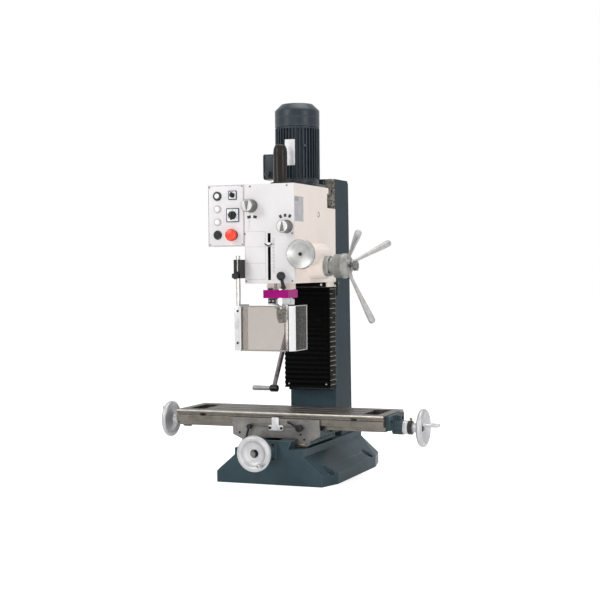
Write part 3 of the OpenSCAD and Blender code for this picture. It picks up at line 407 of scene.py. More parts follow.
# A solid turned from a profile of (radius, height) about a line; ring closes the profile round a bore, and
# scallops cuts (how many, how deep, from height, to height) into its side
def turn(mesh, profile, at, along, steps=64, soft=0.0, look=0, ring=False, scallops=None):
    spin = Vector(along).to_track_quat("Z", "Y").to_matrix()
    corners, rows, faces = [], [], []
    for radius, height in profile:
        count = 1 if radius < 0.001 else steps
        rows.append([len(corners) + k for k in range(count)])
        for k in range(count):
            angle = 2 * math.pi * k / steps
            reach = radius
            if scallops and scallops[2] <= height <= scallops[3]:
                reach -= scallops[1] * (0.5 + 0.5 * math.cos(scallops[0] * angle)) ** 2
            corners.append(Vector(at) + spin @ (polar(angle, reach) + Vector((0, 0, height))))
    for low, high in list(zip(rows, rows[1:])) + ([(rows[-1], rows[0])] if ring else []):
        for k in range(steps):
            j = (k + 1) % steps
            faces.append([low[k % len(low)], low[j % len(low)], high[j % len(high)], high[k % len(high)]])
    if not ring:
        faces += [row for row in (rows[0], rows[-1]) if len(row) > 1]
    addSolid(mesh, corners, faces, soft, look)


# An outline pushed along an axis: (y, z) for x, (x, z) for y, (x, y) for z
def slab(mesh, outline, axis, low, high, soft=0.8, look=0, rounds=2, sharp=0.5):
    place = {"x": lambda p, h: (h, p[0], p[1]), "y": lambda p, h: (p[0], h, p[1]),
             "z": lambda p, h: (p[0], p[1], h)}[axis]
    count = len(outline)
    corners = [place(p, low) for p in outline] + [place(p, high) for p in outline]
    faces = [list(range(count)), list(range(count, 2 * count))]
    faces += [[k, (k + 1) % count, count + (k + 1) % count, count + k] for k in range(count)]
    addSolid(mesh, corners, faces, soft, look, rounds, sharp)


def brick(mesh, low, high, soft=0.8, look=0):
    slab(mesh, [(low[0], low[1]), (high[0], low[1]), (high[0], high[1]), (low[0], high[1])], "z", low[2],
         high[2], soft, look)


# Points of a rectangle with rounded corners
def roundedOutline(x0, x1, z0, z1, radius):
    return (arc(x1 - radius, z1 - radius, radius, 0, 90, 6)
            + arc(x0 + radius, z1 - radius, radius, 90, 180, 6)
            + arc(x0 + radius, z0 + radius, radius, 180, 270, 6)
            + arc(x1 - radius, z0 + radius, radius, 270, 360, 6))


# The object of a finished mesh, in metres: smooth faces, and sharp edges kept where they meet past crease
def closeMesh(name, mesh, materials, crease=34):
    bmesh.ops.scale(mesh, vec=(0.001, 0.001, 0.001), verts=mesh.verts)
    data = bpy.data.meshes.new(name)
    mesh.to_mesh(data)
    mesh.free()
    for material in materials:
        data.materials.append(material)
    data.polygons.foreach_set("use_smooth", [True] * len(data.polygons))
    data.set_sharp_from_angle(angle=math.radians(crease))
    made = bpy.data.objects.new(name, data)
    bpy.context.scene.collection.objects.link(made)
    return made


# Sets a finished mesh on its body; stands names the CAD nodes that it stands for
def makePiece(name, mesh, looks, body, stands=()):
    piece = closeMesh(name, mesh, [finish[look] for look in looks])
    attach(piece, body)
    if stands:
        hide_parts(*stands)


# Socket screws: a chamfered round head with a recess let into it
def screwHeads(name, spots, settings, body):
    mesh = bmesh.new()
    size, height = settings["size"], settings["height"]
    for spot in spots:
        turn(mesh, [(0, -0.5), (size / 2, -0.5), (size / 2, height * 0.75),
                    (size / 2 - height * 0.25, height), (size * 0.27, height), (size * 0.27, height * 0.35),
                    (0, height * 0.35)], spot, settings["out"], 24)
    makePiece(name, mesh, [settings["look"]], body)


# Lines round a wheel's dial, every fifth one longer: radii are under and over its skin, start its outer edge
def dialMarks(mesh, wheel, count, radii, start, reaches, look):
    spin = Vector(wheel["out"]).to_track_quat("Z", "Y").to_matrix()
    for k in range(count):
        angle = 2 * math.pi * k / count
        way, across = polar(angle), polar(angle + math.pi / 2, 0.35)
        reach = reaches[0] if k % 5 == 0 else reaches[1]
        corners = [Vector(wheel["centre"]) + spin @ (way * radius + across * side + Vector((0, 0, height)))
                   for radius in radii for height in (start, start + reach) for side in (-1, 1)]
        addSolid(mesh, corners, boxFaces, look=look)


print("mesh tools ready")


# CAD nodes that keep their shape: each gets its finish, and the cast ones rounded edges by modifier
kept = {"base_casting": ("baseEnamel", 2.2), "column": ("columnEnamel", 1.6),
        "y_bracket": ("baseEnamel", 2.0), "table_bracket_left": ("baseEnamel", 1.6),
        "table_bracket_right": ("baseEnamel", 1.6), "saddle": ("planedSaddle", 0.8),
        "feed_nuts": ("bronze", 0), "table": ("groundTable", 1.5), "x_screw": ("oiledScrew", 0),
        "y_screw": ("oiledScrew", 0), "z_screw": ("oiledScrew", 0), "head_casting": ("headEnamel", 1.8),
        "front_panel": ("panelPaint", 0.5), "control_box": ("headEnamel", 1.2), "z_nut": ("bronze", 0),
        "pinion_flange": ("castAluminium", 1.2), "gear_bearings": ("gearSteel", 0),
        "guard_bracket": ("blackPlastic", 1.2), "quill": ("brightPlate", 0),
        "quill_collar": ("magentaEnamel", 0.8), "spindle": ("brightPlate", 0),
        "motor_rotor": ("gearSteel", 0), "layshaft": ("gearSteel", 0), "sleeve_gear": ("gearSteel", 0),
        "pinion_shaft": ("gearSteel", 0), "worm_wheel": ("bronze", 0), "guard_rod": ("groundRod", 0),
        "stop_dogs": ("blackSteel", 0.4), "column_bolts": ("blackSteel", 0)}


def dressNode(name, look, soft):
    node = nodes[name]
    node.data.materials.clear()
    node.data.materials.append(finish[look])
    for face in node.data.polygons:
        face.material_index = 0
    if soft:
        weld = node.modifiers.new("weld", "WELD")
        weld.merge_threshold = 0.00001
        edges = node.modifiers.new("roundedEdges", "BEVEL")
        edges.width = soft / 1000
        edges.segments = 2
        edges.limit_method = "ANGLE"
        edges.angle_limit = math.radians(32)
        edges.harden_normals = True


# A second finish for those faces of a dressed node that pass a test of their normal and middle, in metres
def dressFaces(name, look, test):
    data = nodes[name].data
    data.materials.append(finish[look])
    for face in data.polygons:
        if test(face.normal, face.center):
            face.material_index = 1


for name, (look, soft) in kept.items():
    dressNode(name, look, soft)
# the saddle's ends are painted like the base, and only its planed faces are bare
dressFaces("saddle", "baseEnamel", lambda normal, middle: abs(normal.x) > 0.5 and middle.z < 0.19)
# the column's front is painted a tone lighter than its sides: painted light, the front lit and the sides in
# shade
dressFaces("column", "litFrontEnamel", lambda normal, middle: normal.y < -0.9 and middle.y > 0.31)
# the table's top is ground finer than its edges, and painted darker as a painted dark reflection
dressFaces("table", "shadedGroundTop", lambda normal, middle: normal.z > 0.9 and middle.z > 0.2455)
print(len(kept), "CAD nodes dressed")

# Way cover: a rubber sheet folded 21 times round three sides of the dovetail
wayCover = {"half": 93, "front": 246, "back": 312.6, "low": 309, "high": 689.5, "folds": 21, "depth": 4.6,
            "sheet": 1.6, "corner": 5, "perFold": 8, "sway": 0.9}


def wayCoverRing(offset, settings):
    half, front, corner = settings["half"] - offset * 0.4, settings["front"] + offset, settings["corner"]
    return ([(-half, settings["back"]), (-half, settings["back"] - 30)]
            + arc(-half + corner, front + corner, corner, 180, 270, 4)
            + [(x * (half - corner) / 8, front) for x in range(-7, 8)]
            + arc(half - corner, front + corner, corner, 270, 360, 4)
            + [(half, settings["back"] - 30), (half, settings["back"])])


def buildWayCover(settings):
    rng = random.Random(4)
    perFold, sheet, half = settings["perFold"], settings["sheet"], settings["half"]
    total = settings["folds"] * perFold
    sway = [rng.uniform(-1, 1) for _ in range(settings["folds"] + 2)]
    rows = []
    for k in range(total + 1):
        wave = 1 - abs(2 * (k % perFold) / perFold - 1)
        z = settings["low"] + (settings["high"] - settings["low"]) * k / total
        lift = settings["sway"] * math.sin(math.pi * k / total)
        rows.append([(x, y, z + lift * math.sin(x / 31 + sway[k // perFold] * 3))
                     for x, y in wayCoverRing(settings["depth"] * wave ** 0.85, settings)])
    outer = [p for ring in rows for p in ring]
    inner = [(x * (1 - sheet / half), y + (sheet if abs(x) < half - 12 else 0), z) for x, y, z in outer]
    wide, tall = len(rows[0]), len(rows)
    shift = wide * tall
    faces = []
    glintFaces = set()
    for k in range(tall - 1):
        for s in range(wide - 1):
            a, b = k * wide + s, k * wide + s + 1
            # most crest faces at the flanks take the pale finish: painted glints of light
            if k % perFold == perFold // 2 and (s < 2 or s > wide - 4) and rng.random() < 0.85:
                glintFaces.add(len(faces))
            faces.append([a, b, b + wide, a + wide])
            faces.append([shift + a, shift + a + wide, shift + b + wide, shift + b])
        for s in (0, wide - 1):
            a = k * wide + s
            faces.append([a, a + wide, shift + a + wide, shift + a])
    for s in range(wide - 1):
        for k in (0, tall - 1):
            a = k * wide + s
            faces.append([a, a + 1, shift + a + 1, shift + a])
    mesh = bmesh.new()
    addSolid(mesh, outer + inner, faces)
    piece = closeMesh("wayCover", mesh, [finish["bellowsRubber"], finish["foldGlint"]], 70)
    for n in glintFaces:
        piece.data.polygons[n].material_index = 1
    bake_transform(piece)
    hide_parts("bellows")


buildWayCover(wayCover)
screwHeads("wayCoverScrewsLow", [(-73, 245.9, 323), (78, 245.9, 323)],
           {"size": 6.4, "height": 2.2, "out": toFront, "look": "satinSteel"}, "base")
wayCoverEnds = {"strip": ((-90, 286.6, 296), (90, 289.8, 309.5)),
                "plate": ((-94.5, 221.4, 690.4), (88, 223.8, 707.6)), "screws": (-73, 70)}
mesh = bmesh.new()
brick(mesh, *wayCoverEnds["strip"], 0.6)
makePiece("wayCoverStrip", mesh, ["blackSteel"], "base")
mesh = bmesh.new()
brick(mesh, *wayCoverEnds["plate"], 0.5)
for x in wayCoverEnds["screws"]:
    turn(mesh, [(0, 0), (4, 0), (4, 1.4), (3, 2), (1.6, 2), (1.6, 0.6), (0, 0.6)], (x, 221.4, 699), toFront,
         24, look=1)
makePiece("wayCoverTopPlate", mesh, ["bellowsRubber", "whitePlastic"], "head")
print("way cover folded")

# Handwheels: dished turned wheels with a round rim and a dial; lengths run back from the rim's plane
crossWheel = {"centre": (0, -260, 126), "out": toFront, "axis": "y", "size": 126, "hub": 80, "rim": 11,
              "dial": (68, 93.5), "marks": 40}
leftWheel = {"centre": (-482, 63, 195.5), "out": toLeft, "axis": "x", "size": 136, "hub": 56, "rim": 11,
             "dial": None}
rightWheel = {"centre": (509, 63, 195.5), "out": toRight, "axis": "x", "size": 136, "hub": 60, "rim": 11,
              "dial": (53, 71.5), "marks": 40}


def buildWheel(name, settings):
    mesh = bmesh.new()
    hub, rim, place = settings["hub"], settings["rim"], (settings["centre"], settings["out"])
    middle = settings["size"] / 2 - rim
    profile = [(9, -hub), (16, -hub), (17, -hub + 1), (17, -18), (19, -14.5), (24, -12.2), (34, -9),
               (middle - 11.5, -6)]
    profile += arc(middle, 0, rim, -152, 152, 19)
    profile += [(middle - 12, 3.6), (36, 0.4), (28, -1.4), (20, -2.4), (15.5, -2.4), (14, -4), (14, -13),
                (9, -13)]
    turn(mesh, profile, *place, 96, ring=True)
    addTurned(name + "Metal", centre=settings["centre"], axis=settings["axis"], deep="#ABABAD",
              light="#C6C6C8", metal=0.5, gloss=(0.36, 0.48))
    # nut and washer sunk in the hub
    turn(mesh, [(0, -12.8), (12.5, -12.8), (12.5, -11.4), (9.5, -11.4), (9, -5.5), (8, -4.8), (0, -4.8)],
         *place, 24, look=1)
    looks = [name + "Metal", "blackSteel"]
    if settings["dial"]:
        low, high = settings["dial"]
        turn(mesh, [(17, -high), (24, -high), (25, -high + 1), (25, -high + 8), (24.4, -high + 8.4),
                    (24.4, -high + 9.2), (25, -high + 9.6), (25, -low - 1), (24, -low), (17, -low)],
             *place, 80, look=2, ring=True)
        dialMarks(mesh, settings, settings["marks"], (24.6, 25.12), -high + 0.8, (7.5, 4.5), 3)
        addTurned(name + "Dial", centre=settings["centre"], axis=settings["axis"], deep="#B4B4B6",
                  light="#D0D0D2", gloss=(0.32, 0.44))
        looks += [name + "Dial", "blackPrint"]
    return mesh, looks, place


mesh, looks, place = buildWheel("crossWheel", crossWheel)
turn(mesh, [(0, 0), (3.4, 0), (3.4, 58), (2.6, 60), (0, 60)], (42, -264, 93), toFront, 24)
makePiece("crossWheel", mesh, looks, "y_screw", ["y_handwheel"])

mesh, looks, place = buildWheel("rightWheel", rightWheel)
turn(mesh, [(0, 0), (3.4, 0), (3.4, 58), (2.6, 61.5), (0, 61.5)], (513, 18, 212.5), toRight, 24)
# black clamp ring outside the dial, its thumbscrew, and a bronze collar
turn(mesh, [(17, -52.6), (24, -52.6), (25, -51.6), (25, -40), (24, -39), (17, -39)], *place, 80,
     look=len(looks), ring=True)
turn(mesh, [(0, 0), (2.6, 0), (2.6, 3), (5, 3.8), (5, 9.8), (4, 10.2), (0, 10.2)], (464, 63, 219.5), toTop,
     24, look=len(looks) + 1, scallops=(10, 0.5, 3.6, 9.9))
turn(mesh, [(9.2, -39), (13.5, -38.6), (14.5, -37), (14.5, -27), (13, -25), (9.2, -25)], *place, 48,
     look=len(looks) + 1, ring=True)
makePiece("rightWheel", mesh, looks + ["blackPlastic", "bronze"], "x_screw",
          ["x_handwheel_right"])

mesh, looks, place = buildWheel("leftWheel", leftWheel)
foldedAt = Vector((-491, 63, 195.5)) + Matrix.Rotation(math.radians(32), 3, "X") @ Vector((0, 0, 52))
turn(mesh, [(0, 0), (7.4, 0), (7.6, 2), (6.6, 9.5), (5.6, 11), (0, 11)], foldedAt, toLeft, 32,
     look=len(looks))
turn(mesh, [(9.2, -56), (19, -56), (19.5, -55), (19.5, -40), (18.5, -38), (9.2, -38)], *place, 64,
     look=len(looks) + 1, ring=True)
makePiece("leftWheel", mesh, looks + ["greyPlastic", "bronze"], "x_screw",
          ["x_handwheel_left"])

# Loose turned grips: a narrow foot, a waist and a full rounded end, as (share of radius, share of length)
grip = {"size": 17, "bore": 7.1, "shape": [(0.6, 0), (0.66, 0.01), (0.66, 0.07), (0.55, 0.11), (0.62, 0.18),
        (0.82, 0.30), (0.96, 0.44), (1, 0.6), (0.99, 0.78), (0.93, 0.9), (0.8, 0.965), (0.62, 1)]}
for name, at, along, length, node, axis in (("crossGrip", (42, -272, 93), toFront, 57, "y_grip", "y"),
                                            ("rightGrip", (521, 18, 212.5), toRight, 60, "x_grip", "x")):
    addTurned(name + "Metal", centre=at, axis=axis, deep="#ABABAC", light="#CFCFD0", gloss=(0.28, 0.4))
    mesh = bmesh.new()
    bore = grip["bore"] / 2
    turn(mesh, [(bore, 0)] + [(grip["size"] / 2 * r, length * h) for r, h in grip["shape"]]
         + [(bore, length)], at, along, 48, ring=True)
    makePiece(name, mesh, [name + "Metal"], node, [node])
print("handwheels turned")

# Lifting crank: shaft and boss on the column's left side, a long arm down to a turning grip
liftCrank = {"shaft": (386, 532), "arm": 275, "tilt": 145.9, "plane": -131}
tilt = math.radians(liftCrank["tilt"])
armWay = Vector((0, -math.sin(tilt), math.cos(tilt)))
armTop = Vector((liftCrank["plane"], *liftCrank["shaft"]))
armEnd = armTop + armWay * liftCrank["arm"]
mesh = bmesh.new()
turn(mesh, [(0, 0), (7.9, 0), (7.9, 108), (0, 108)], (-144, *liftCrank["shaft"]), toRight, 40)
turn(mesh, [(8, 0), (15.5, 0), (17, 1.5), (17, 16.5), (15.5, 18), (8, 18)], (-140, *liftCrank["shaft"]),
     toRight, 48, ring=True)
turn(mesh, [(0, 0), (10, 0), (10, 18), (9.6, 40), (9.2, 150), (8.6, 230), (8.4, 262), (8.4, 275), (0, 275)],
     armTop, armWay, 32)
turn(mesh, [(0, -17), (11.5, -17), (13.5, -15), (13.5, 11), (11.5, 13), (0, 13)], armEnd, toLeft, 48, look=1)
turn(mesh, [(0, 0), (3.9, 0), (3.9, 79), (2.8, 80), (0, 80)], armEnd, toLeft, 24)
turn(mesh, [(0, 0), (17, 0), (12, 12), (0, 12)], (-37, *liftCrank["shaft"]), toRight, 36, soft=0.4,
     scallops=(12, 2.5, -1, 13))
makePiece("liftCrank", mesh, ["dullSteel", "blackSteel"], "z_crank", ["z_crank"])
gripFoot = armEnd + Vector((-14, 0, 0))
addTurned("liftGripMetal", centre=tuple(gripFoot), axis="x", deep="#878888", light="#A9AAA9",
          gloss=(0.44, 0.54), metal=0.3)
mesh = bmesh.new()
turn(mesh, [(4.1, 0.4), (7.6, 0.4), (8.6, 1.4), (8.8, 12), (9.3, 34), (9.8, 56), (9.9, 66), (9.4, 70),
            (8, 71.8), (4.1, 71.8)], gripFoot, toLeft, 48, ring=True)
makePiece("liftGrip", mesh, ["liftGripMetal"], "z_crank_grip", ["z_crank_grip"])
print("lifting crank made")

# Star handle: a stepped hub and three levers that lean out and swell to round ends
starHandle = {"hub": (225, 58, 768), "turns": (-54.8, 65.2, 185.2), "reach": 204, "rise": 109}
addTurned("hubMetal", centre=starHandle["hub"], axis="x", deep="#858582", light="#A3A39F", gloss=(0.44, 0.56),
          metal=0.4)
mesh = bmesh.new()
turn(mesh, [(12.6, -38.5), (41, -38.5), (42.5, -37), (42.5, -11), (43.5, -9.5), (45, -8.5), (45, 2),
            (44, 3.6), (36, 15.5), (34, 17), (12.6, 17)], starHandle["hub"], toRight, 96, ring=True)
lean = math.atan2(starHandle["rise"], starHandle["reach"])
length = math.hypot(starHandle["rise"], starHandle["reach"])
for angle in starHandle["turns"]:
    way = Matrix.Rotation(math.radians(-angle), 3, "X") @ (Matrix.Rotation(lean, 3, "Y") @ Vector(toTop))
    turn(mesh, [(0, 26), (8.5, 26), (8.5, 44), (6.4, 46), (5.8, 52), (6.0, 70), (7.6, 110), (9.8, 155),
                (11.8, 192)] + arc(0, length - 12, 12.5, 0, 84, 7) + [(0, length + 0.5)], starHandle["hub"],
         way, 40, look=1)
makePiece("starHandle", mesh, ["hubMetal", "satinSteel"], "star_handle", ["star_handle"])

# Clutch knob in the hub's middle, and the screws of the flange behind the hub
clutchKnob = {"size": 37, "lobes": 8, "lobeDepth": 2.6}
flangeScrews = {"x": 170, "ring": 33, "count": 4}
mesh = bmesh.new()
edge = clutchKnob["size"] / 2
turn(mesh, [(0, -5), (5.9, -5), (5.9, 31), (edge - 1.5, 31), (edge, 32.5), (edge, 44), (edge - 2, 46),
            (8, 46), (6.5, 44.6), (0, 44.6)], starHandle["hub"], toRight, 96,
     scallops=(clutchKnob["lobes"], clutchKnob["lobeDepth"], 30.5, 46.5))
makePiece("clutchKnob", mesh, ["clutchSteel"], "clutch_knob", ["clutch_knob"])
mesh = bmesh.new()
for k in range(flangeScrews["count"]):
    spot = polar(math.radians(45 + 90 * k), flangeScrews["ring"])
    turn(mesh, [(0, 0), (3.6, 0), (3.6, 1.6), (3, 2.2), (1.8, 2.2), (1.8, 0.6), (0, 0.6)],
         (flangeScrews["x"], starHandle["hub"][1] + spot.x, starHandle["hub"][2] + spot.y), toRight, 24)
makePiece("flangeScrews", mesh, ["blackSteel"], "head")
print("star handle turned")

# Fine feed handwheel: a flat turned disc with a notched rim, a dial behind it and a dark centre screw
fineWheel = {"centre": (132, -133, 810), "out": toFront, "marks": 30, "dial": 31}
addTurned("fineWheelMetal", centre=fineWheel["centre"], axis="y", deep="#8F8F8D", light="#B2B2B0",
          gloss=(0.28, 0.38), metal=0.8)
mesh = bmesh.new()
place = (fineWheel["centre"], fineWheel["out"])
turn(mesh, [(0, 0), (49.5, 0), (51.5, 0.8), (52.6, 2.8), (52.6, 14), (51.8, 16), (50.4, 17), (49, 17),
            (47.6, 16), (10, 13.4), (0, 13.4)], *place, 180, scallops=(36, 0.9, 1.5, 16.5))
turn(mesh, [(0, -113), (6.9, -113), (6.9, 2), (0, 2)], *place, 32)
turn(mesh, [(0, -32), (29.5, -32), (31, -30.5), (31, -16), (30.3, -15.6), (30.3, -14.8), (31, -14.4),
            (31, 0.5), (0, 0.5)], *place, 96)
turn(mesh, [(0, 13), (6.5, 13), (6.5, 16), (5.6, 17), (3.2, 17), (3.2, 14.5), (0, 14.5)], *place, 32, look=1)
dialMarks(mesh, fineWheel, fineWheel["marks"], (30.6, 31.15), -fineWheel["dial"], (7, 4), 2)
makePiece("fineFeedWheel", mesh, ["fineWheelMetal", "blackSteel", "blackPrint"], "fine_feed_wheel",
          ["fine_feed_wheel"])
print("fine feed wheel turned")

# Gear knobs: turned caps with a dark pointer wedge on the face, and their shifting arms inside
gearKnobs = {"gearKnobLeft": {"at": (-67, 983), "points": 1, "node": "gear_knob_left"},
             "gearKnobRight": {"at": (67, 907.5), "points": -1, "node": "gear_knob_right"}}
for name, knob in gearKnobs.items():
    (x, z), way = knob["at"], knob["points"]
    place = ((x, panelFace, z), toFront)
    addTurned(name + "Metal", centre=place[0], axis="y", deep="#5F5D5A", light="#7C7975", gloss=(0.34, 0.46))
    addTurned(name + "Face", centre=place[0], axis="y", deep="#CECECC", light="#DCDCDA", gloss=(0.4, 0.5),
              metal=0.15)
    mesh = bmesh.new()
    turn(mesh, [(0, 0.6), (22.4, 0.6), (23.4, 1.6), (23.4, 8), (22.2, 10), (21.6, 13), (21.6, 38), (22.4, 40),
                (22.4, 43.5), (21, 45.2), (0, 45.2)], *place, 96, scallops=(24, 0.7, 12.5, 38.5))
    turn(mesh, [(0, 45), (20.2, 45), (20.2, 45.7), (19.6, 46), (0, 46)], *place, 64, look=1)
    turn(mesh, [(0, -40), (6.9, -40), (6.9, 2), (0, 2)], *place, 32, look=2)
    brick(mesh, (x - 4, -84, z - 17), (x + 4, -74, z), 0.8, 2)
    wedge = [(-8.5, 15.5), (-4.5, 18), (4.5, 18), (8.5, 15.5), (1.6, -17.5), (-1.6, -17.5)]
    slab(mesh, [(x + across, z + way * up) for across, up in wedge], "y", -154.5, -153.6, 0.15, 3)
    makePiece(name, mesh, [name + "Metal", name + "Face", "gearSteel", "wedgePrint"], knob["node"],
              [knob["node"]])
print("gear knobs turned")

# Control panel: a satin plate with lamps and two bare switch plates, screwed to its box
controlPlate = {"x": (-237, -97), "z": (841, 1060), "back": -105, "rim": 2, "lampColumn": -200,
                "switchColumn": -140, "lamps": (974.5, 928)}
lampX, switchX = controlPlate["lampColumn"], controlPlate["switchColumn"]
mesh = bmesh.new()
slab(mesh, roundedOutline(*controlPlate["x"], *controlPlate["z"], 3), "y", panelFace, controlPlate["back"],
     0.6)
rim, (x0, x1), (z0, z1) = controlPlate["rim"], controlPlate["x"], controlPlate["z"]
x0, x1, z0, z1 = x0 + 1, x1 - 1, z0 + 1, z1 - 1
for low, high in (((x0, z0), (x1, z0 + rim)), ((x0, z1 - rim), (x1, z1)), ((x0, z0), (x0 + rim, z1)),
                  ((x1 - rim, z0), (x1, z1))):
    brick(mesh, (low[0], panelFace - 0.2, low[1]), (high[0], panelFace + 0.2, high[1]), 0.05, 1)
makePiece("controlPlate", mesh, ["panelPaint", "greyPrint"], "head", ["control_panel"])
mesh = bmesh.new()
for z in controlPlate["lamps"]:
    turn(mesh, [(9.5, 0), (14, 0), (14, 2), (13, 4.4), (10.5, 5), (9.5, 5)], (lampX, panelFace, z), toFront,
         48, ring=True)
    turn(mesh, [(0, 0), (9.6, 0), (9.6, 4.6), (8.8, 6.8), (6, 7.8), (0, 8)], (lampX, panelFace, z), toFront,
         40, look=1)
makePiece("signalLamps", mesh, ["greyPlastic", "lampGlass"], "head")

# Rotary switches: each a square blue-edged plate, ticks round its knob, and the knob with a pointer nose
switches = {
    "speedSwitch": {"z": 952, "plate": 25, "size": 30, "points": -1, "node": "speed_switch",
                    "ticks": {"turns": [-120 + 40 * k for k in range(7)], "reach": 19.5, "half": 2.2}},
    "modeSwitch": {"z": 1023, "plate": 16.5, "size": 19, "points": 1, "node": "mode_switch",
                   "ticks": {"turns": [-50, 0, 50], "reach": 13, "half": 1.8}}}
mesh = bmesh.new()
for switch in switches.values():
    z, half = switch["z"], switch["plate"]
    slab(mesh, roundedOutline(switchX - half, switchX + half, z - half, z + half, 3), "y", -110.6, panelFace,
         0.5)
    half -= 3.4
    slab(mesh, roundedOutline(switchX - half, switchX + half, z - half, z + half, 2), "y", -111.0, -110.4,
         0.15, 1)
makePiece("switchPlates", mesh, ["bluePrint", "whitePlastic"], "head")
mesh = bmesh.new()
for switch in switches.values():
    ticks = switch["ticks"]
    for angle in ticks["turns"]:
        spot = polar(math.radians(angle), ticks["reach"])
        x, z = switchX + spot.y, switch["z"] + spot.x
        brick(mesh, (x - 0.6, -111.3, z - ticks["half"]), (x + 0.6, -110.9, z + ticks["half"]), 0.05)
makePiece("switchTicks", mesh, ["blackPrint"], "head")
for name, switch in switches.items():
    mesh = bmesh.new()
    r, z, up = switch["size"] / 2, switch["z"], switch["points"]
    turn(mesh, [(0, -12), (5.4, -12), (5.4, 3.4), (r, 3.4), (r, 5), (r - 1, 6.2), (r - 2, 14), (r - 3.2, 16),
                (0, 16)], (switchX, panelFace, z), toFront, 64)
    half = 3.2
    nose = [(-half, 2.5 - r), (-half, r * 1.05), (0, r * 1.2), (half, r * 1.05), (half, 2.5 - r)]
    slab(mesh, [(switchX + across, z + up * along) for across, along in nose], "y", -128, -121, 1.0)
    makePiece(name, mesh, ["blackPlastic"], switch["node"], [switch["node"]])

# Push buttons: stems of 8.9 mm radius with a flat, a wide and a mushroom head, each in its ring
buttons = {
    "startButton": {"at": (lampX, 1021), "look": "whitePlastic", "node": "start_button",
                    "slot": "white_button", "head": [(9, 3), (9, 7.2), (8, 8.6), (0, 9)], "steps": 48},
    "stopButton": {"at": (lampX, 882), "look": "blackPlastic", "node": "stop_button", "slot": "black_button",
                   "head": [(12.4, 3), (12.8, 4), (12.8, 8), (11.4, 9.6), (0, 10)], "steps": 48},
    "emergencyStop": {"at": (switchX, 881), "look": "redPlastic", "node": "emergency_stop",
                      "slot": "red_button", "steps": 72,
                      "head": [(14.8, 3), (14.8, 14.6), (20.5, 15.4), (21.9, 17), (22, 19), (21, 23),
                               (18.4, 27), (14, 28.6), (0, 29)]}}
buttonRings = {
    "startButton": [(9.4, 0), (16.4, 0), (16.4, 3.6), (15, 5.6), (11, 5.6), (9.4, 4.2)],
    "stopButton": [(13.4, 0), (16.4, 0), (16.4, 1.6), (15.6, 2.4), (13.4, 2.4)],
    "emergencyStop": [(15.4, 0), (19, 0), (19, 1.8), (18, 2.6), (15.4, 2.6)]}
for name, button in buttons.items():
    x, z = button["at"]
    mesh = bmesh.new()
    turn(mesh, [(0, -12), (8.9, -12), (8.9, 3)] + button["head"], (x, panelFace, z), toFront, button["steps"])
    makePiece(name, mesh, [button["look"]], button["node"], [button["node"]])
mesh = bmesh.new()
for name, profile in buttonRings.items():
    x, z = buttons[name]["at"]
    turn(mesh, profile, (x, panelFace, z), toFront, 48, look=0 if name == "startButton" else 1, ring=True)
makePiece("buttonRings", mesh, ["greenPlastic", "blackPlastic"], "head")
screwHeads("controlPlateScrews",
           [(x, panelFace, z) for x, z in ((-231, 1053), (-104, 1054), (-230, 848), (-104, 848))],
           {"size": 5, "height": 1.4, "out": toFront, "look": "dullSteel"}, "head")
print("control panel fitted")

# Front panel: bare label left of the quill's slot, depth scale, plain bars at the gear knobs, a black slot
# liner as painted shade, screws
panelLabel = {"x": (-94, -13), "z": (722, 893), "rows": (722.9, 892.1, 780, 838), "sides": (-92.6, -14.4)}
depthScale = {"low": 745, "step": 5, "count": 25, "left": 12, "short": 19.5, "long": 22}
knobBars = [(-77, 944, 0.2, 14, 10), (-54, 944, -0.2, 14, 10), (43.5, 943, 0.5, 10, 12), (61, 947, 0, 10, 11),
            (78.5, 944, -0.5, 10, 12)]  # middle x and z, tilt, width, height
mesh = bmesh.new()
slab(mesh, roundedOutline(*panelLabel["x"], *panelLabel["z"], 2), "y", panelFace - 0.5, panelFace, 0.15)
for z in panelLabel["rows"]:
    brick(mesh, (-92, panelFace - 0.62, z - 0.35), (-15, panelFace - 0.45, z + 0.35), 0.05, 1)
for x in panelLabel["sides"]:
    brick(mesh, (x - 0.35, panelFace - 0.62, 724), (x + 0.35, panelFace - 0.45, 891), 0.05, 1)
makePiece("barePanelLabel", mesh, ["panelPaint", "greyPrint"], "head")
mesh = bmesh.new()
for k in range(depthScale["count"]):
    z = depthScale["low"] + depthScale["step"] * k
    right = depthScale["long"] if k % 4 == 0 else depthScale["short"]
    brick(mesh, (depthScale["left"], panelFace - 0.35, z - 0.4), (right, panelFace + 0.1, z + 0.4), 0.05)
for x, z, tilt, wide, tall in knobBars:
    along, up = polar(tilt, wide / 2), polar(tilt + math.pi / 2, tall / 2)
    corners = [(x + a * along.x + b * up.x, z + a * along.y + b * up.y)
               for a, b in ((-1, -1), (1, -1), (1, 1), (-1, 1))]
    slab(mesh, corners, "y", panelFace - 0.35, panelFace + 0.1, 0.05)
makePiece("panelMarks", mesh, ["blackPrint"], "head")
# a black liner on the slot's walls and back: painted shade of the slot's inside
slotShadeLiner = {"x": (-6, 5), "z": (720, 886), "sheet": 0.8, "deep": -92.2}
(left, right), (low, high), sheet = slotShadeLiner["x"], slotShadeLiner["z"], slotShadeLiner["sheet"]
mesh = bmesh.new()
brick(mesh, (left, panelFace, low), (left + sheet, slotShadeLiner["deep"], high), 0.1)
brick(mesh, (right - sheet, panelFace, low), (right, slotShadeLiner["deep"], high), 0.1)
brick(mesh, (left, -93.2, low), (right, -92.4, high), 0.1)
makePiece("slotShadeLiner", mesh, ["blackPlastic"], "head")
screwHeads("panelScrews",
           [(x, panelFace, z)
            for x, z in ((-93.5, 884.5), (87.7, 884), (-89.8, 716.7), (87.2, 716.5), (-73, 1052), (68, 1052))],
           {"size": 6.5, "height": 1.8, "out": toFront, "look": "dullSteel"}, "head")

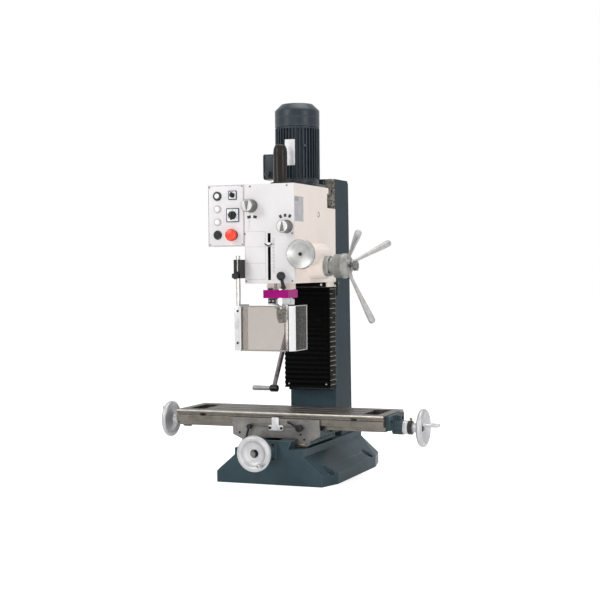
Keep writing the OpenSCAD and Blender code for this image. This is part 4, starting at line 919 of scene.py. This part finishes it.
# Depth stop: rod, white pointer plate and its shallow black V
depthStop = {"rod": (-0.5, -49, 0), "middle": -1, "wing": 15.4}
mesh = bmesh.new()
turn(mesh, [(0, 684), (2.9, 684), (2.9, 841), (2, 842), (0, 842)], depthStop["rod"], toTop, 24, look=1)
brick(mesh, (-4, -111, 842.5), (3, -47, 849.5), 0.6, 1)
slab(mesh, [(-17, 852.4), (15, 852.4), (15, 846.6), (-1, 836), (-17, 846.6)], "y", -114, -110.2, 0.5)
for side in (-1, 1):
    x, end = depthStop["middle"], depthStop["middle"] + side * depthStop["wing"]
    slab(mesh, [(x, 836.6), (x, 842.6), (end, 852), (end, 846.6)], "y", -114.5, -113.8, 0.05, 2)
makePiece("depthPointer", mesh, ["whitePlastic", "satinSteel", "blackPrint"], "quill",
          ["depth_pointer"])
print("front panel finished")

# Head side: a bare plate with plain lines, and a plug in a black ring that is wider behind it: painted shade
# of its recess
sidePlate = {"plate": (-105, -20, 927, 1015), "band": (-102, -62, 997, 1012), "lines": (950, 966, 982)}
oilPlug = {"ring": (sideFace - 0.2, 132, 957), "cap": (sideFace - 0.2, 128.4, 957)}
mesh = bmesh.new()
slab(mesh, roundedOutline(*sidePlate["plate"], 2), "x", sideFace, sideFace + 0.6, 0.2)
slab(mesh, roundedOutline(*sidePlate["band"], 1), "x", sideFace + 0.5, sideFace + 0.75, 0.05, 1)
for z in sidePlate["lines"]:
    brick(mesh, (sideFace + 0.5, -100, z - 0.3), (sideFace + 0.7, -25, z + 0.3), 0.05, 1)
makePiece("bareSidePlate", mesh, ["sidePlate", "greyPrint"], "head")
mesh = bmesh.new()
# the black ring stands for the recess round the plug: painted shade
turn(mesh, [(0, 0), (10, 0), (10, 0.5), (9.6, 0.9), (0, 0.9)], oilPlug["ring"], toRight, 40)
turn(mesh, [(0, 0.8), (7.2, 0.8), (7.2, 1.1), (6.8, 1.4), (0, 1.4)], oilPlug["cap"], toRight, 40, look=1)
makePiece("oilPlug", mesh, ["blackSteel", "headEnamel"], "head")
print("head side finished")

# Motor: finned body on a square flange, terminal box with cover and gland, ribbed cowl
motor = {"centre": (0, 168.8), "fins": 40, "root": 73, "tip": 82.6, "finsFrom": 1092, "finsTo": 1279,
         "flange": (1060.2, 1070), "box": (-122, -60), "plate": (83.2, 84.0)}


def buildMotor(settings):
    cx, cy = settings["centre"]
    upright = ((cx, cy, 0), toTop)
    mesh = bmesh.new()
    slab(mesh, roundedOutline(-92, 92, cy - 68, cy + 68, 20), "z", *settings["flange"], 1.2)
    turn(mesh, [(12.1, 1070), (78, 1070), (79, 1071), (79, 1086), (77.6, 1088), (12.1, 1088)], *upright, 96,
         ring=True)
    step = 2 * math.pi / settings["fins"]
    outline = []
    for k in range(settings["fins"]):
        for part, radius in ((-0.25, settings["root"]), (-0.11, settings["tip"]), (0.11, settings["tip"]),
                             (0.25, settings["root"])):
            spot = polar((k + part) * step, radius)
            outline.append((cx + spot.x, cy + spot.y))
    slab(mesh, outline, "z", settings["finsFrom"], settings["finsTo"], 0.5, rounds=1, sharp=0.7)
    turn(mesh, [(58, 1086), (74, 1086), (74, 1094), (58, 1094)], *upright, 96, ring=True)
    turn(mesh, [(58, 1274), (78, 1274), (80, 1276), (80, 1281.6), (58, 1281.6)], *upright, 96, ring=True)
    for angle in (-50, 50, 130, 230):
        turn(mesh, [(0, 66), (6.5, 66), (6.5, 84), (5.4, 86.5), (0, 86.5)], (cx, cy, 1210),
             polar(math.radians(angle)), 28)
    # terminal box: tray, lid and gland
    lid, foot = settings["box"]
    slab(mesh, roundedOutline(cy - 43, cy + 33, 1092, 1186, 10), "x", lid + 7, foot, 1.2)
    slab(mesh, roundedOutline(cy - 44, cy + 34, 1091, 1187, 12), "x", lid, lid + 6.4, 3)
    turn(mesh, [(0, 0), (12, 0), (12, 5), (10, 7), (10, 14), (8.6, 16), (0, 16)], (-100, cy - 43, 1112),
         toFront, 24)
    makePiece("motorBody", mesh, ["motorEnamel"], "head", ["motor_housing"])
    mesh = bmesh.new()
    for y in (cy - 34, cy + 24):
        for z in (1101, 1177):
            turn(mesh, [(0, -0.5), (3, -0.5), (3, 0), (2.2, 0.4), (0, 0.4)], (lid + 0.4, y, z), toLeft, 20)
    for x in (-80, 80):
        for y in (-56, 56):
            turn(mesh, [(0, -0.5), (6.5, -0.5), (6.5, 5.6), (5.8, 6.4), (3.2, 6.4), (3.2, 3), (0, 3)],
                 (cx + x, cy + y, 1070), toTop, 24)
    makePiece("motorScrews", mesh, ["blackSteel"], "head")
    # fan cowl: a ribbed drum, a sloping shoulder and a grille of rings and bars
    mesh = bmesh.new()
    drum = [(58, 1282.2), (81.6, 1282.2), (82.8, 1283.4), (82.8, 1286), (82, 1287), (82.8, 1288),
            (82.8, 1315), (81.9, 1316.2), (81.9, 1317.8), (82.8, 1319), (82.8, 1342.6), (81.8, 1344.6),
            (60, 1366.4), (57.4, 1368), (50, 1369), (49, 1368), (46, 1367.4), (46, 1364), (56, 1363.6),
            (79, 1341), (79.6, 1339), (79.6, 1284.6), (58, 1284.6)]
    turn(mesh, drum, *upright, 96, ring=True)
    for radius in (11, 20, 29, 38):
        turn(mesh, [(radius - 1.6, 1364.6), (radius + 1.6, 1364.6), (radius + 1.6, 1368),
                    (radius - 1.6, 1368)], *upright, 64, ring=True)
    for k in range(8):
        angle = math.pi * k / 4 + 0.2
        way, side = polar(angle), polar(angle + math.pi / 2, 2)
        corners = [Vector((cx, cy, z)) + way * r + side * s
                   for r in (4, 48) for z in (1364.2, 1368.6) for s in (-1, 1)]
        addSolid(mesh, corners, boxFaces)
    turn(mesh, [(0, 1363.6), (9, 1363.6), (9, 1369.2), (8, 1369.8), (0, 1369.8)], *upright, 40)
    makePiece("fanCowl", mesh, ["motorEnamel"], "head", ["fan_cowl"])
    # a bare curved plate on the fins, with four rivets
    mesh = bmesh.new()
    corners, faces = [], []
    for n in range(9):
        for radius in settings["plate"]:
            spot = polar(math.radians(-88.5 + (n - 4) * 3.4), radius)
            corners += [(cx + spot.x, cy + spot.y, z) for z in (1138, 1233)]
    for n in range(8):
        a, b = n * 4, n * 4 + 4
        faces += [[a, b, b + 1, a + 1], [a + 2, a + 3, b + 3, b + 2], [a, a + 2, b + 2, b],
                  [a + 1, b + 1, b + 3, a + 3]]
    faces += [[0, 1, 3, 2], [32, 34, 35, 33]]
    addSolid(mesh, corners, faces)
    for z in (1141, 1230):
        for angle in (-100.1, -76.9):
            turn(mesh, [(0, 80), (1.6, 80), (1.6, 84.4), (0, 84.8)], (cx, cy, z), polar(math.radians(angle)),
                 16, look=1)
    makePiece("bareMotorPlate", mesh, ["barePlate", "satinSteel"], "head")


buildMotor(motor)

# Drawbar cap: a domed plastic cover on a flanged foot
drawbarCap = {"screws": 3, "screwRing": 31, "screwFoot": 1069.6}
mesh = bmesh.new()
turn(mesh, [(22.2, 1060.2), (35, 1060.2), (36, 1061.2), (36, 1068.6), (34.6, 1070), (26.5, 1070.4),
            (25.5, 1072), (25.4, 1176), (24.8, 1184), (23.4, 1191.5), (21, 1198.4), (17.6, 1203.6),
            (13, 1206.6), (7, 1207.9), (0, 1208), (0, 1190), (20, 1186), (22.2, 1176)], (0, 0, 0), toTop, 80)
makePiece("drawbarCap", mesh, ["capPlastic"], "head", ["drawbar_cap"])
mesh = bmesh.new()
for k in range(drawbarCap["screws"]):
    spot = polar(math.radians(30 + 120 * k), drawbarCap["screwRing"])
    turn(mesh, [(0, -0.5), (3, -0.5), (3, 2), (2.4, 2.6), (0, 2.6)],
         (spot.x, spot.y, drawbarCap["screwFoot"]), toTop, 20)
makePiece("drawbarCapScrews", mesh, ["blackSteel"], "head")
print("motor and cap built")

# Chuck: keyed drill chuck with a knurled sleeve and three jaws
drillChuck = {"size": 37, "knurls": 40, "jaws": 3, "jawHalf": 2}
mesh = bmesh.new()
edge = drillChuck["size"] / 2
turn(mesh, [(6.6, 588), (edge - 1.1, 588), (edge, 589.5), (edge, 607), (edge - 0.7, 608), (edge - 0.7, 609),
            (edge, 610), (edge, 614.5), (edge - 1.1, 616), (6.6, 616)], (0, 0, 0), toTop, 120, ring=True,
     scallops=(drillChuck["knurls"], 0.45, 589, 607.5))
turn(mesh, [(6.6, 564.2), (10.4, 564.2), (11.4, 565.4), (17.2, 581), (17.6, 583), (17.6, 588.2),
            (6.6, 588.2)], (0, 0, 0), toTop, 72, ring=True)
for k in range(drillChuck["jaws"]):
    angle = math.radians(90 + 120 * k)
    way, side = polar(angle), polar(angle + math.pi / 2, drillChuck["jawHalf"])
    corners = [Vector((0, 0, z)) + way * r + side * s
               for r, z in ((6.6, 564), (9.6, 564), (13.4, 580), (6.6, 580)) for s in (-1, 1)]
    addSolid(mesh, corners, [[0, 2, 4, 6], [1, 3, 5, 7], [0, 1, 3, 2], [2, 3, 5, 4], [4, 5, 7, 6],
                             [6, 7, 1, 0]], look=1)
makePiece("drillChuck", mesh, ["chuckSteel", "blackSteel"], "spindle", ["drill_chuck"])

# Covers on the back: one on the leaning rear of the column, one behind the control box
rearCover = {"foot": (490, 156), "head": (466, 1091), "half": 62, "low": 560, "high": 980, "thick": 1.6}
boxBack = {"outline": (-229, -105, 849, 1052), "y": (-42.2, -40.6)}


def columnBack(z):
    (y0, z0), (y1, z1) = rearCover["foot"], rearCover["head"]
    return y0 + (y1 - y0) * (z - z0) / (z1 - z0)


mesh = bmesh.new()
low, high, thick = rearCover["low"], rearCover["high"], rearCover["thick"]
slab(mesh, [(columnBack(low) - 0.2, low), (columnBack(high) - 0.2, high), (columnBack(high) + thick, high),
            (columnBack(low) + thick, low)], "x", -rearCover["half"], rearCover["half"], 0.5)
makePiece("columnRearCover", mesh, ["columnEnamel"], "base")
screwHeads("columnRearScrews", [(x, columnBack(z) + thick, z) for x in (-55, 55) for z in (568, 770, 972)],
           {"size": 8, "height": 2.4, "out": toBack, "look": "blackSteel"}, "base")
mesh = bmesh.new()
slab(mesh, roundedOutline(*boxBack["outline"], 5), "y", *boxBack["y"], 0.4)
makePiece("controlBoxBack", mesh, ["headEnamel"], "head")
screwHeads("controlBoxScrews", [(x, boxBack["y"][1], z) for x in (-222, -112) for z in (856, 1045)],
           {"size": 7, "height": 2, "out": toBack, "look": "blackSteel"}, "head")
print("rear covers fitted")

# Quill lock: a short bar with a ball lever that leans out at its end
quillLock = {"at": (0, 0, 694), "turned": 25.5, "arm": 133, "lean": 22, "tip": -12, "ball": 15.9}
swing = math.radians(quillLock["turned"])
lockAt = Vector(quillLock["at"])
lockWay = Vector((math.sin(swing), -math.cos(swing), 0))
leverFoot = lockAt + lockWay * quillLock["arm"]
leverWay = (Matrix.Rotation(swing, 3, "Z") @ Matrix.Rotation(math.radians(quillLock["lean"]), 3, "X")
            @ Matrix.Rotation(math.radians(quillLock["tip"]), 3, "Y")) @ Vector(toTop)
mesh = bmesh.new()
turn(mesh, [(0, 42.6), (4.4, 42.6), (4.4, 60), (6, 62), (6, 124), (8, 127), (8.4, 129), (8.4, 136), (7, 138),
            (0, 138)], lockAt, lockWay, 32)
turn(mesh, [(0, 0), (6.6, 0), (6.2, 16), (5.2, 36), (0, 36)], leverFoot, leverWay, 24)
turn(mesh, arc(0, 44, quillLock["ball"], -90, 90, 18), leverFoot, leverWay, 48, look=1)
makePiece("quillLock", mesh, ["blackSteel", "blackPlastic"], "quill_lock", ["quill_lock"])

# Head lock: a stud in the slide's right side with a hanging lever
headLock = {"stud": (0, 296, 703), "lever": (107, 296, 703)}
mesh = bmesh.new()
turn(mesh, [(0, 73), (4.4, 73), (4.4, 101), (7, 101.4), (8, 102.4), (8, 111.6), (7, 112.8), (0, 112.8)],
     headLock["stud"], toRight, 36)
turn(mesh, [(0, 2), (4.2, 6), (4.0, 30), (4.6, 40), (5, 44), (3.4, 46), (0, 46)], headLock["lever"],
     (0, 0, -1), 28)
makePiece("headLock", mesh, ["blackSteel"], "head_lock", ["head_lock"])

# Clamp block under the depth collar, with two screws
collarClamp = {"block": ((-28, -59, 636), (-2, -47.5, 654.6)), "pad": ((-28, -60, 684.3), (-10, -53, 690.5)),
               "screws": (-22, -8)}
mesh = bmesh.new()
brick(mesh, *collarClamp["block"], 1.2)
brick(mesh, *collarClamp["pad"])
for x in collarClamp["screws"]:
    turn(mesh, [(0, 0), (4, 0), (4, 3), (3, 4), (1.8, 4), (1.8, 2), (0, 2)], (x, -59, 645), toFront, 24,
         look=1)
makePiece("collarClamp", mesh, ["blackPlastic", "satinSteel"], "quill")
print("chuck and locks made")

# A bright strip along the table's top front edge: a painted highlight where the edge catches the light
tableEdgeHighlight = {"half": 399.6, "y": (-57.5, -56.4), "z": (240.6, 245.7)}
mesh = bmesh.new()
half, (y0, y1), (z0, z1) = tableEdgeHighlight["half"], tableEdgeHighlight["y"], tableEdgeHighlight["z"]
brick(mesh, (-half, y0, z0), (half, y1, z1), 0.4)
makePiece("tableEdgeHighlight", mesh, ["lipHighlight"], "table")

# Clamp levers on the saddle's front: hub, thin tapered handle, small ball
clampLevers = {"tableLockLeft": {"x": -96, "turned": 197, "hub": 9, "node": "table_lock_left"},
               "tableLockRight": {"x": 96, "turned": -63, "hub": 12.8, "node": "table_lock_right"}}
for name, lever in clampLevers.items():
    mesh = bmesh.new()
    x, hub = lever["x"], lever["hub"]
    turn(mesh, [(0, -28), (4.9, -28), (4.9, 9.6), (hub - 1, 10), (hub, 11), (hub, 20), (hub - 1, 21.6),
                (4.4, 22), (4.4, 20.4), (0, 20.4)], (x, -67, 196), toFront, 40)
    way = Matrix.Rotation(math.radians(lever["turned"]), 3, "Y") @ Vector(toTop)
    turn(mesh, [(0, 5), (4.2, 5), (4, 18), (3.6, 36), (3.6, 39)] + arc(0, 44, 5.4, -60, 84, 8) + [(0, 49.4)],
         (x, -83, 196), way, 28)
    makePiece(name, mesh, ["blackSteel"], lever["node"], [lever["node"]])

# Stop plate in the middle of the saddle, then the bolts and screws of base, saddle and table
tableStop = {"plate": (-25, 31, 183, 203), "tongue": (-12.5, 14.5, 192, 230), "screws": (-19, 25)}
mesh = bmesh.new()
slab(mesh, roundedOutline(*tableStop["plate"], 6), "y", -73, -67.2)
slab(mesh, roundedOutline(*tableStop["tongue"], 4), "y", -73.2, -67.2)
for x in tableStop["screws"]:
    turn(mesh, [(0, 0), (5, 0), (5, 3), (4, 4), (2.2, 4), (2.2, 1.8), (0, 1.8)], (x, -73, 193), toFront, 24,
         look=1)
makePiece("tableStop", mesh, ["barePlate", "blackSteel"], "saddle", ["table_stop"])
screwHeads("columnBolts", [(x, y, 150) for x in (-108, 108) for y in (312, 390, 468)],
           {"size": 18, "height": 12, "out": toTop, "look": "blackSteel"}, "base")
screwHeads("feedBracketScrews", [(x, -148, z) for z in (144, 92) for x in (-26, 26)],
           {"size": 10, "height": 5, "out": toFront, "look": "blackSteel"}, "base")
screwHeads("saddleGibScrews", [(110, -67, 155), (96, -67, 172), (-110, -67, 155), (-140, -67, 172)],
           {"size": 8, "height": 2.4, "out": toFront, "look": "blackSteel"}, "saddle")
wiperPlate = {"outline": (58, 112, 131, 141), "y": (-68.6, -67)}
mesh = bmesh.new()
slab(mesh, roundedOutline(*wiperPlate["outline"], 2), "y", *wiperPlate["y"], 0.3)
makePiece("wayWiperPlate", mesh, ["oiledWay"], "saddle")
for side, x, out in (("Left", -412, toLeft), ("Right", 412, toRight)):
    screwHeads("bracketScrews" + side, [(x, y, 222) for y in (0, 126)],
               {"size": 10, "height": 5, "out": out, "look": "blackSteel"}, "table")
print("levers and screws fitted")

# Guard: a clear sheet bent round three sides, its bends painted near white as a painted reflection, beside a
# plain hinge bar
guard = {"left": -95, "right": 108, "front": -162, "low": 472.6, "high": 630.4, "sheet": 4, "rim": 5,
         "bends": {0: 2, 1: 1, 2: 1, 8: 1, 9: 1, 10: 1, 11: 2, 12: 2},  # look of each stretch but the pane
         "hinge": ((-119, -150, 472.5), (-95.2, -126, 630.5)), "tab": ((-94, -160, 631), (-60, -154, 636.4)),
         "trim": (103.4, 108.4)}


# The sheet seen from above, from its left edge round the front to its right one
def guardPath(inset):
    s = guard["sheet"] * inset
    left, right, front = guard["left"], guard["right"], guard["front"]
    return [(left + s, -88), (left + s, -156), (left + 1.4 + s * 0.7, -160.2 + s * 0.7),
            (left + 6 + s * 0.4, front + s), (-40, front + s), (20, front + s), (80, front + s),
            (87, front + 0.4 + s), (92 - s * 0.3, front + 4 + s * 0.8), (104 - s * 0.7, -146 + s * 0.6),
            (107.2 - s, -141 + s * 0.2), (right - s, -134), (right - s, -80), (right - s, -27)]


outer, inner = guardPath(0), guardPath(1)
mesh = bmesh.new()
count = len(outer)
for n in range(count - 1):
    ring = [outer[n], outer[n + 1], inner[n + 1], inner[n]]
    solid = [mesh.verts.new((*spot, z)) for z in (guard["low"], guard["high"]) for spot in ring]
    sides = [[0, 1, 5, 4], [2, 3, 7, 6], [0, 1, 2, 3], [4, 5, 6, 7]]
    if n == 0:
        sides.append([0, 3, 7, 4])
    if n == count - 2:
        sides.append([1, 2, 6, 5])
    for side in sides:
        mesh.faces.new([solid[k] for k in side]).material_index = guard["bends"].get(n, 0)
bmesh.ops.remove_doubles(mesh, verts=mesh.verts, dist=0.01)
bmesh.ops.recalc_face_normals(mesh, faces=mesh.faces)
makePiece("guardSheet", mesh, ["clearSheet", "bendReflectionSheet", "sideSheet"], "guard_shield",
          ["guard_shield"])
mesh = bmesh.new()
brick(mesh, *guard["hinge"])
makePiece("guardHinge", mesh, ["barePlate"], "guard_shield")
screwHeads("guardHingeScrews", [(-106, -150, 612), (-107, -150, 499)],
           {"size": 8, "height": 2.4, "out": toFront, "look": "blackSteel"}, "guard_shield")
# trim on the right side's free edges, then the front pane's cut edges and the tab over its left end
mesh = bmesh.new()
x0, x1 = guard["trim"]
brick(mesh, (x0, -27.4, 472.4), (x1, -24.6, 630.6), 0.5)
for z in (472.1, 628.4):
    brick(mesh, (x0, -134, z), (x1, -27, z + 2.6), 0.4)
makePiece("guardEdge", mesh, ["greyPlastic"], "guard_shield")
mesh = bmesh.new()
for z in (471.8, 626.2):
    brick(mesh, (-90, -162.6, z), (80, -157.4, z + guard["rim"]), 0.4)
brick(mesh, *guard["tab"], 0.4)
makePiece("guardRims", mesh, ["sheetEdge"], "guard_shield")
guardKnob = {"at": (-108, -150, 736), "size": 24, "lobes": 6, "lobeDepth": 2.4}
mesh = bmesh.new()
edge = guardKnob["size"] / 2
turn(mesh, [(0, -3), (3.9, -3), (3.9, 7), (edge - 1.5, 7), (edge, 8.6), (edge, 19.4), (edge - 1.4, 20.6),
            (5, 21), (0, 21)], guardKnob["at"], toFront, 72,
     scallops=(guardKnob["lobes"], guardKnob["lobeDepth"], 6.5, 21.2))
makePiece("guardKnob", mesh, ["blackPlastic"], "guard_knob", ["guard_knob"])
print("guard bent")

# Floor and light: a pale floor that shows white to the camera but keeps the shadow, and four soft lamps
studio = {"floorLift": 0.67, "room": 0.45, "reach": 30000, "floor": -0.6, "lamps": {
    "keyLamp": {"place": (-2.4, -3.4, 2.8), "aim": (0, 0, 0.7), "size": (1.8, 2.2), "watts": 66},
    "fillLamp": {"place": (3.6, -1.6, 2.2), "aim": (0, 0, 0.7), "size": (1.6, 2.0), "watts": 40},
    "lowLamp": {"place": (0.9, -4.2, 0.6), "aim": (0, 0, 0.35), "size": (1.8, 0.9), "watts": 32},
    "topLamp": {"place": (0.3, 0.6, 4.2), "aim": (0, 0, 0.6), "size": (2.2, 2.2), "watts": 60}}}


# 1 where a background is looked at, straight or by glass or metal, and 0 where it lights the object
def lookedAt(tree):
    rays = addNode(tree, "ShaderNodeLightPath").outputs
    seen = addNode(tree, "ShaderNodeMath", {0: rays["Is Camera Ray"], 1: rays["Is Glossy Ray"]},
                   operation="MAXIMUM").outputs[0]
    return addNode(tree, "ShaderNodeMath", {0: seen, 1: rays["Is Transmission Ray"]},
                   operation="MAXIMUM").outputs[0]


# Matt pale paint, faintly clouded, lifted to white where it is looked at
def paleFloorPaint(settings):
    material = bpy.data.materials.new("paleFloorPaint")
    material.use_nodes = True
    tree = material.node_tree
    tree.nodes.clear()
    out = addNode(tree, "ShaderNodeOutputMaterial")
    coords = addNode(tree, "ShaderNodeTexCoord").outputs["Object"]
    cloud = addNode(tree, "ShaderNodeTexNoise", {"Vector": coords, "Scale": markScale(333.3), "Detail": 3})
    paint = addNode(tree, "ShaderNodeMix", {0: cloud.outputs["Fac"], 6: hexColor("#E9E9E8"),
                                            7: hexColor("#EEEEED")}, data_type="RGBA").outputs[2]
    matt = addNode(tree, "ShaderNodeBsdfDiffuse", {"Color": paint})
    glow = addNode(tree, "ShaderNodeEmission", {"Color": (1, 1, 1, 1), "Strength": settings["floorLift"]})
    lifted = addNode(tree, "ShaderNodeAddShader", {0: matt.outputs[0], 1: glow.outputs[0]})
    pick = addNode(tree, "ShaderNodeMixShader", {0: lookedAt(tree), 1: matt.outputs[0], 2: lifted.outputs[0]})
    tree.links.new(pick.outputs[0], out.inputs["Surface"])
    return material


def buildStudio(settings):
    mesh = bmesh.new()
    for x, y in arc(0, 0, settings["reach"], 0, 345, 23):
        mesh.verts.new((x, y, settings["floor"]))
    mesh.faces.new(list(mesh.verts))
    floor = closeMesh("studioFloor", mesh, [paleFloorPaint(settings)])

    world = bpy.data.worlds.new("studioRoom")
    bpy.context.scene.world = world
    world.use_nodes = True
    tree = world.node_tree
    tree.nodes.clear()
    out = addNode(tree, "ShaderNodeOutputWorld")
    level = addNode(tree, "ShaderNodeMapRange", {"Value": lookedAt(tree), "To Min": settings["room"],
                    "To Max": 1.0}).outputs[0]
    sky = addNode(tree, "ShaderNodeBackground", {"Color": (1, 1, 1, 1), "Strength": level})
    tree.links.new(sky.outputs[0], out.inputs["Surface"])

    for name, lamp in settings["lamps"].items():
        data = bpy.data.lights.new(name, "AREA")
        data.shape = "RECTANGLE"
        data.size, data.size_y = lamp["size"]
        data.energy = lamp["watts"]
        light = bpy.data.objects.new(name, data)
        light.location = lamp["place"]
        aim = Vector(lamp["aim"]) - Vector(lamp["place"])
        light.rotation_euler = aim.to_track_quat("-Z", "Y").to_euler()
        bpy.context.scene.collection.objects.link(light)
    bpy.context.scene.view_settings.view_transform = "Standard"


buildStudio(studio)
print("studio lit")
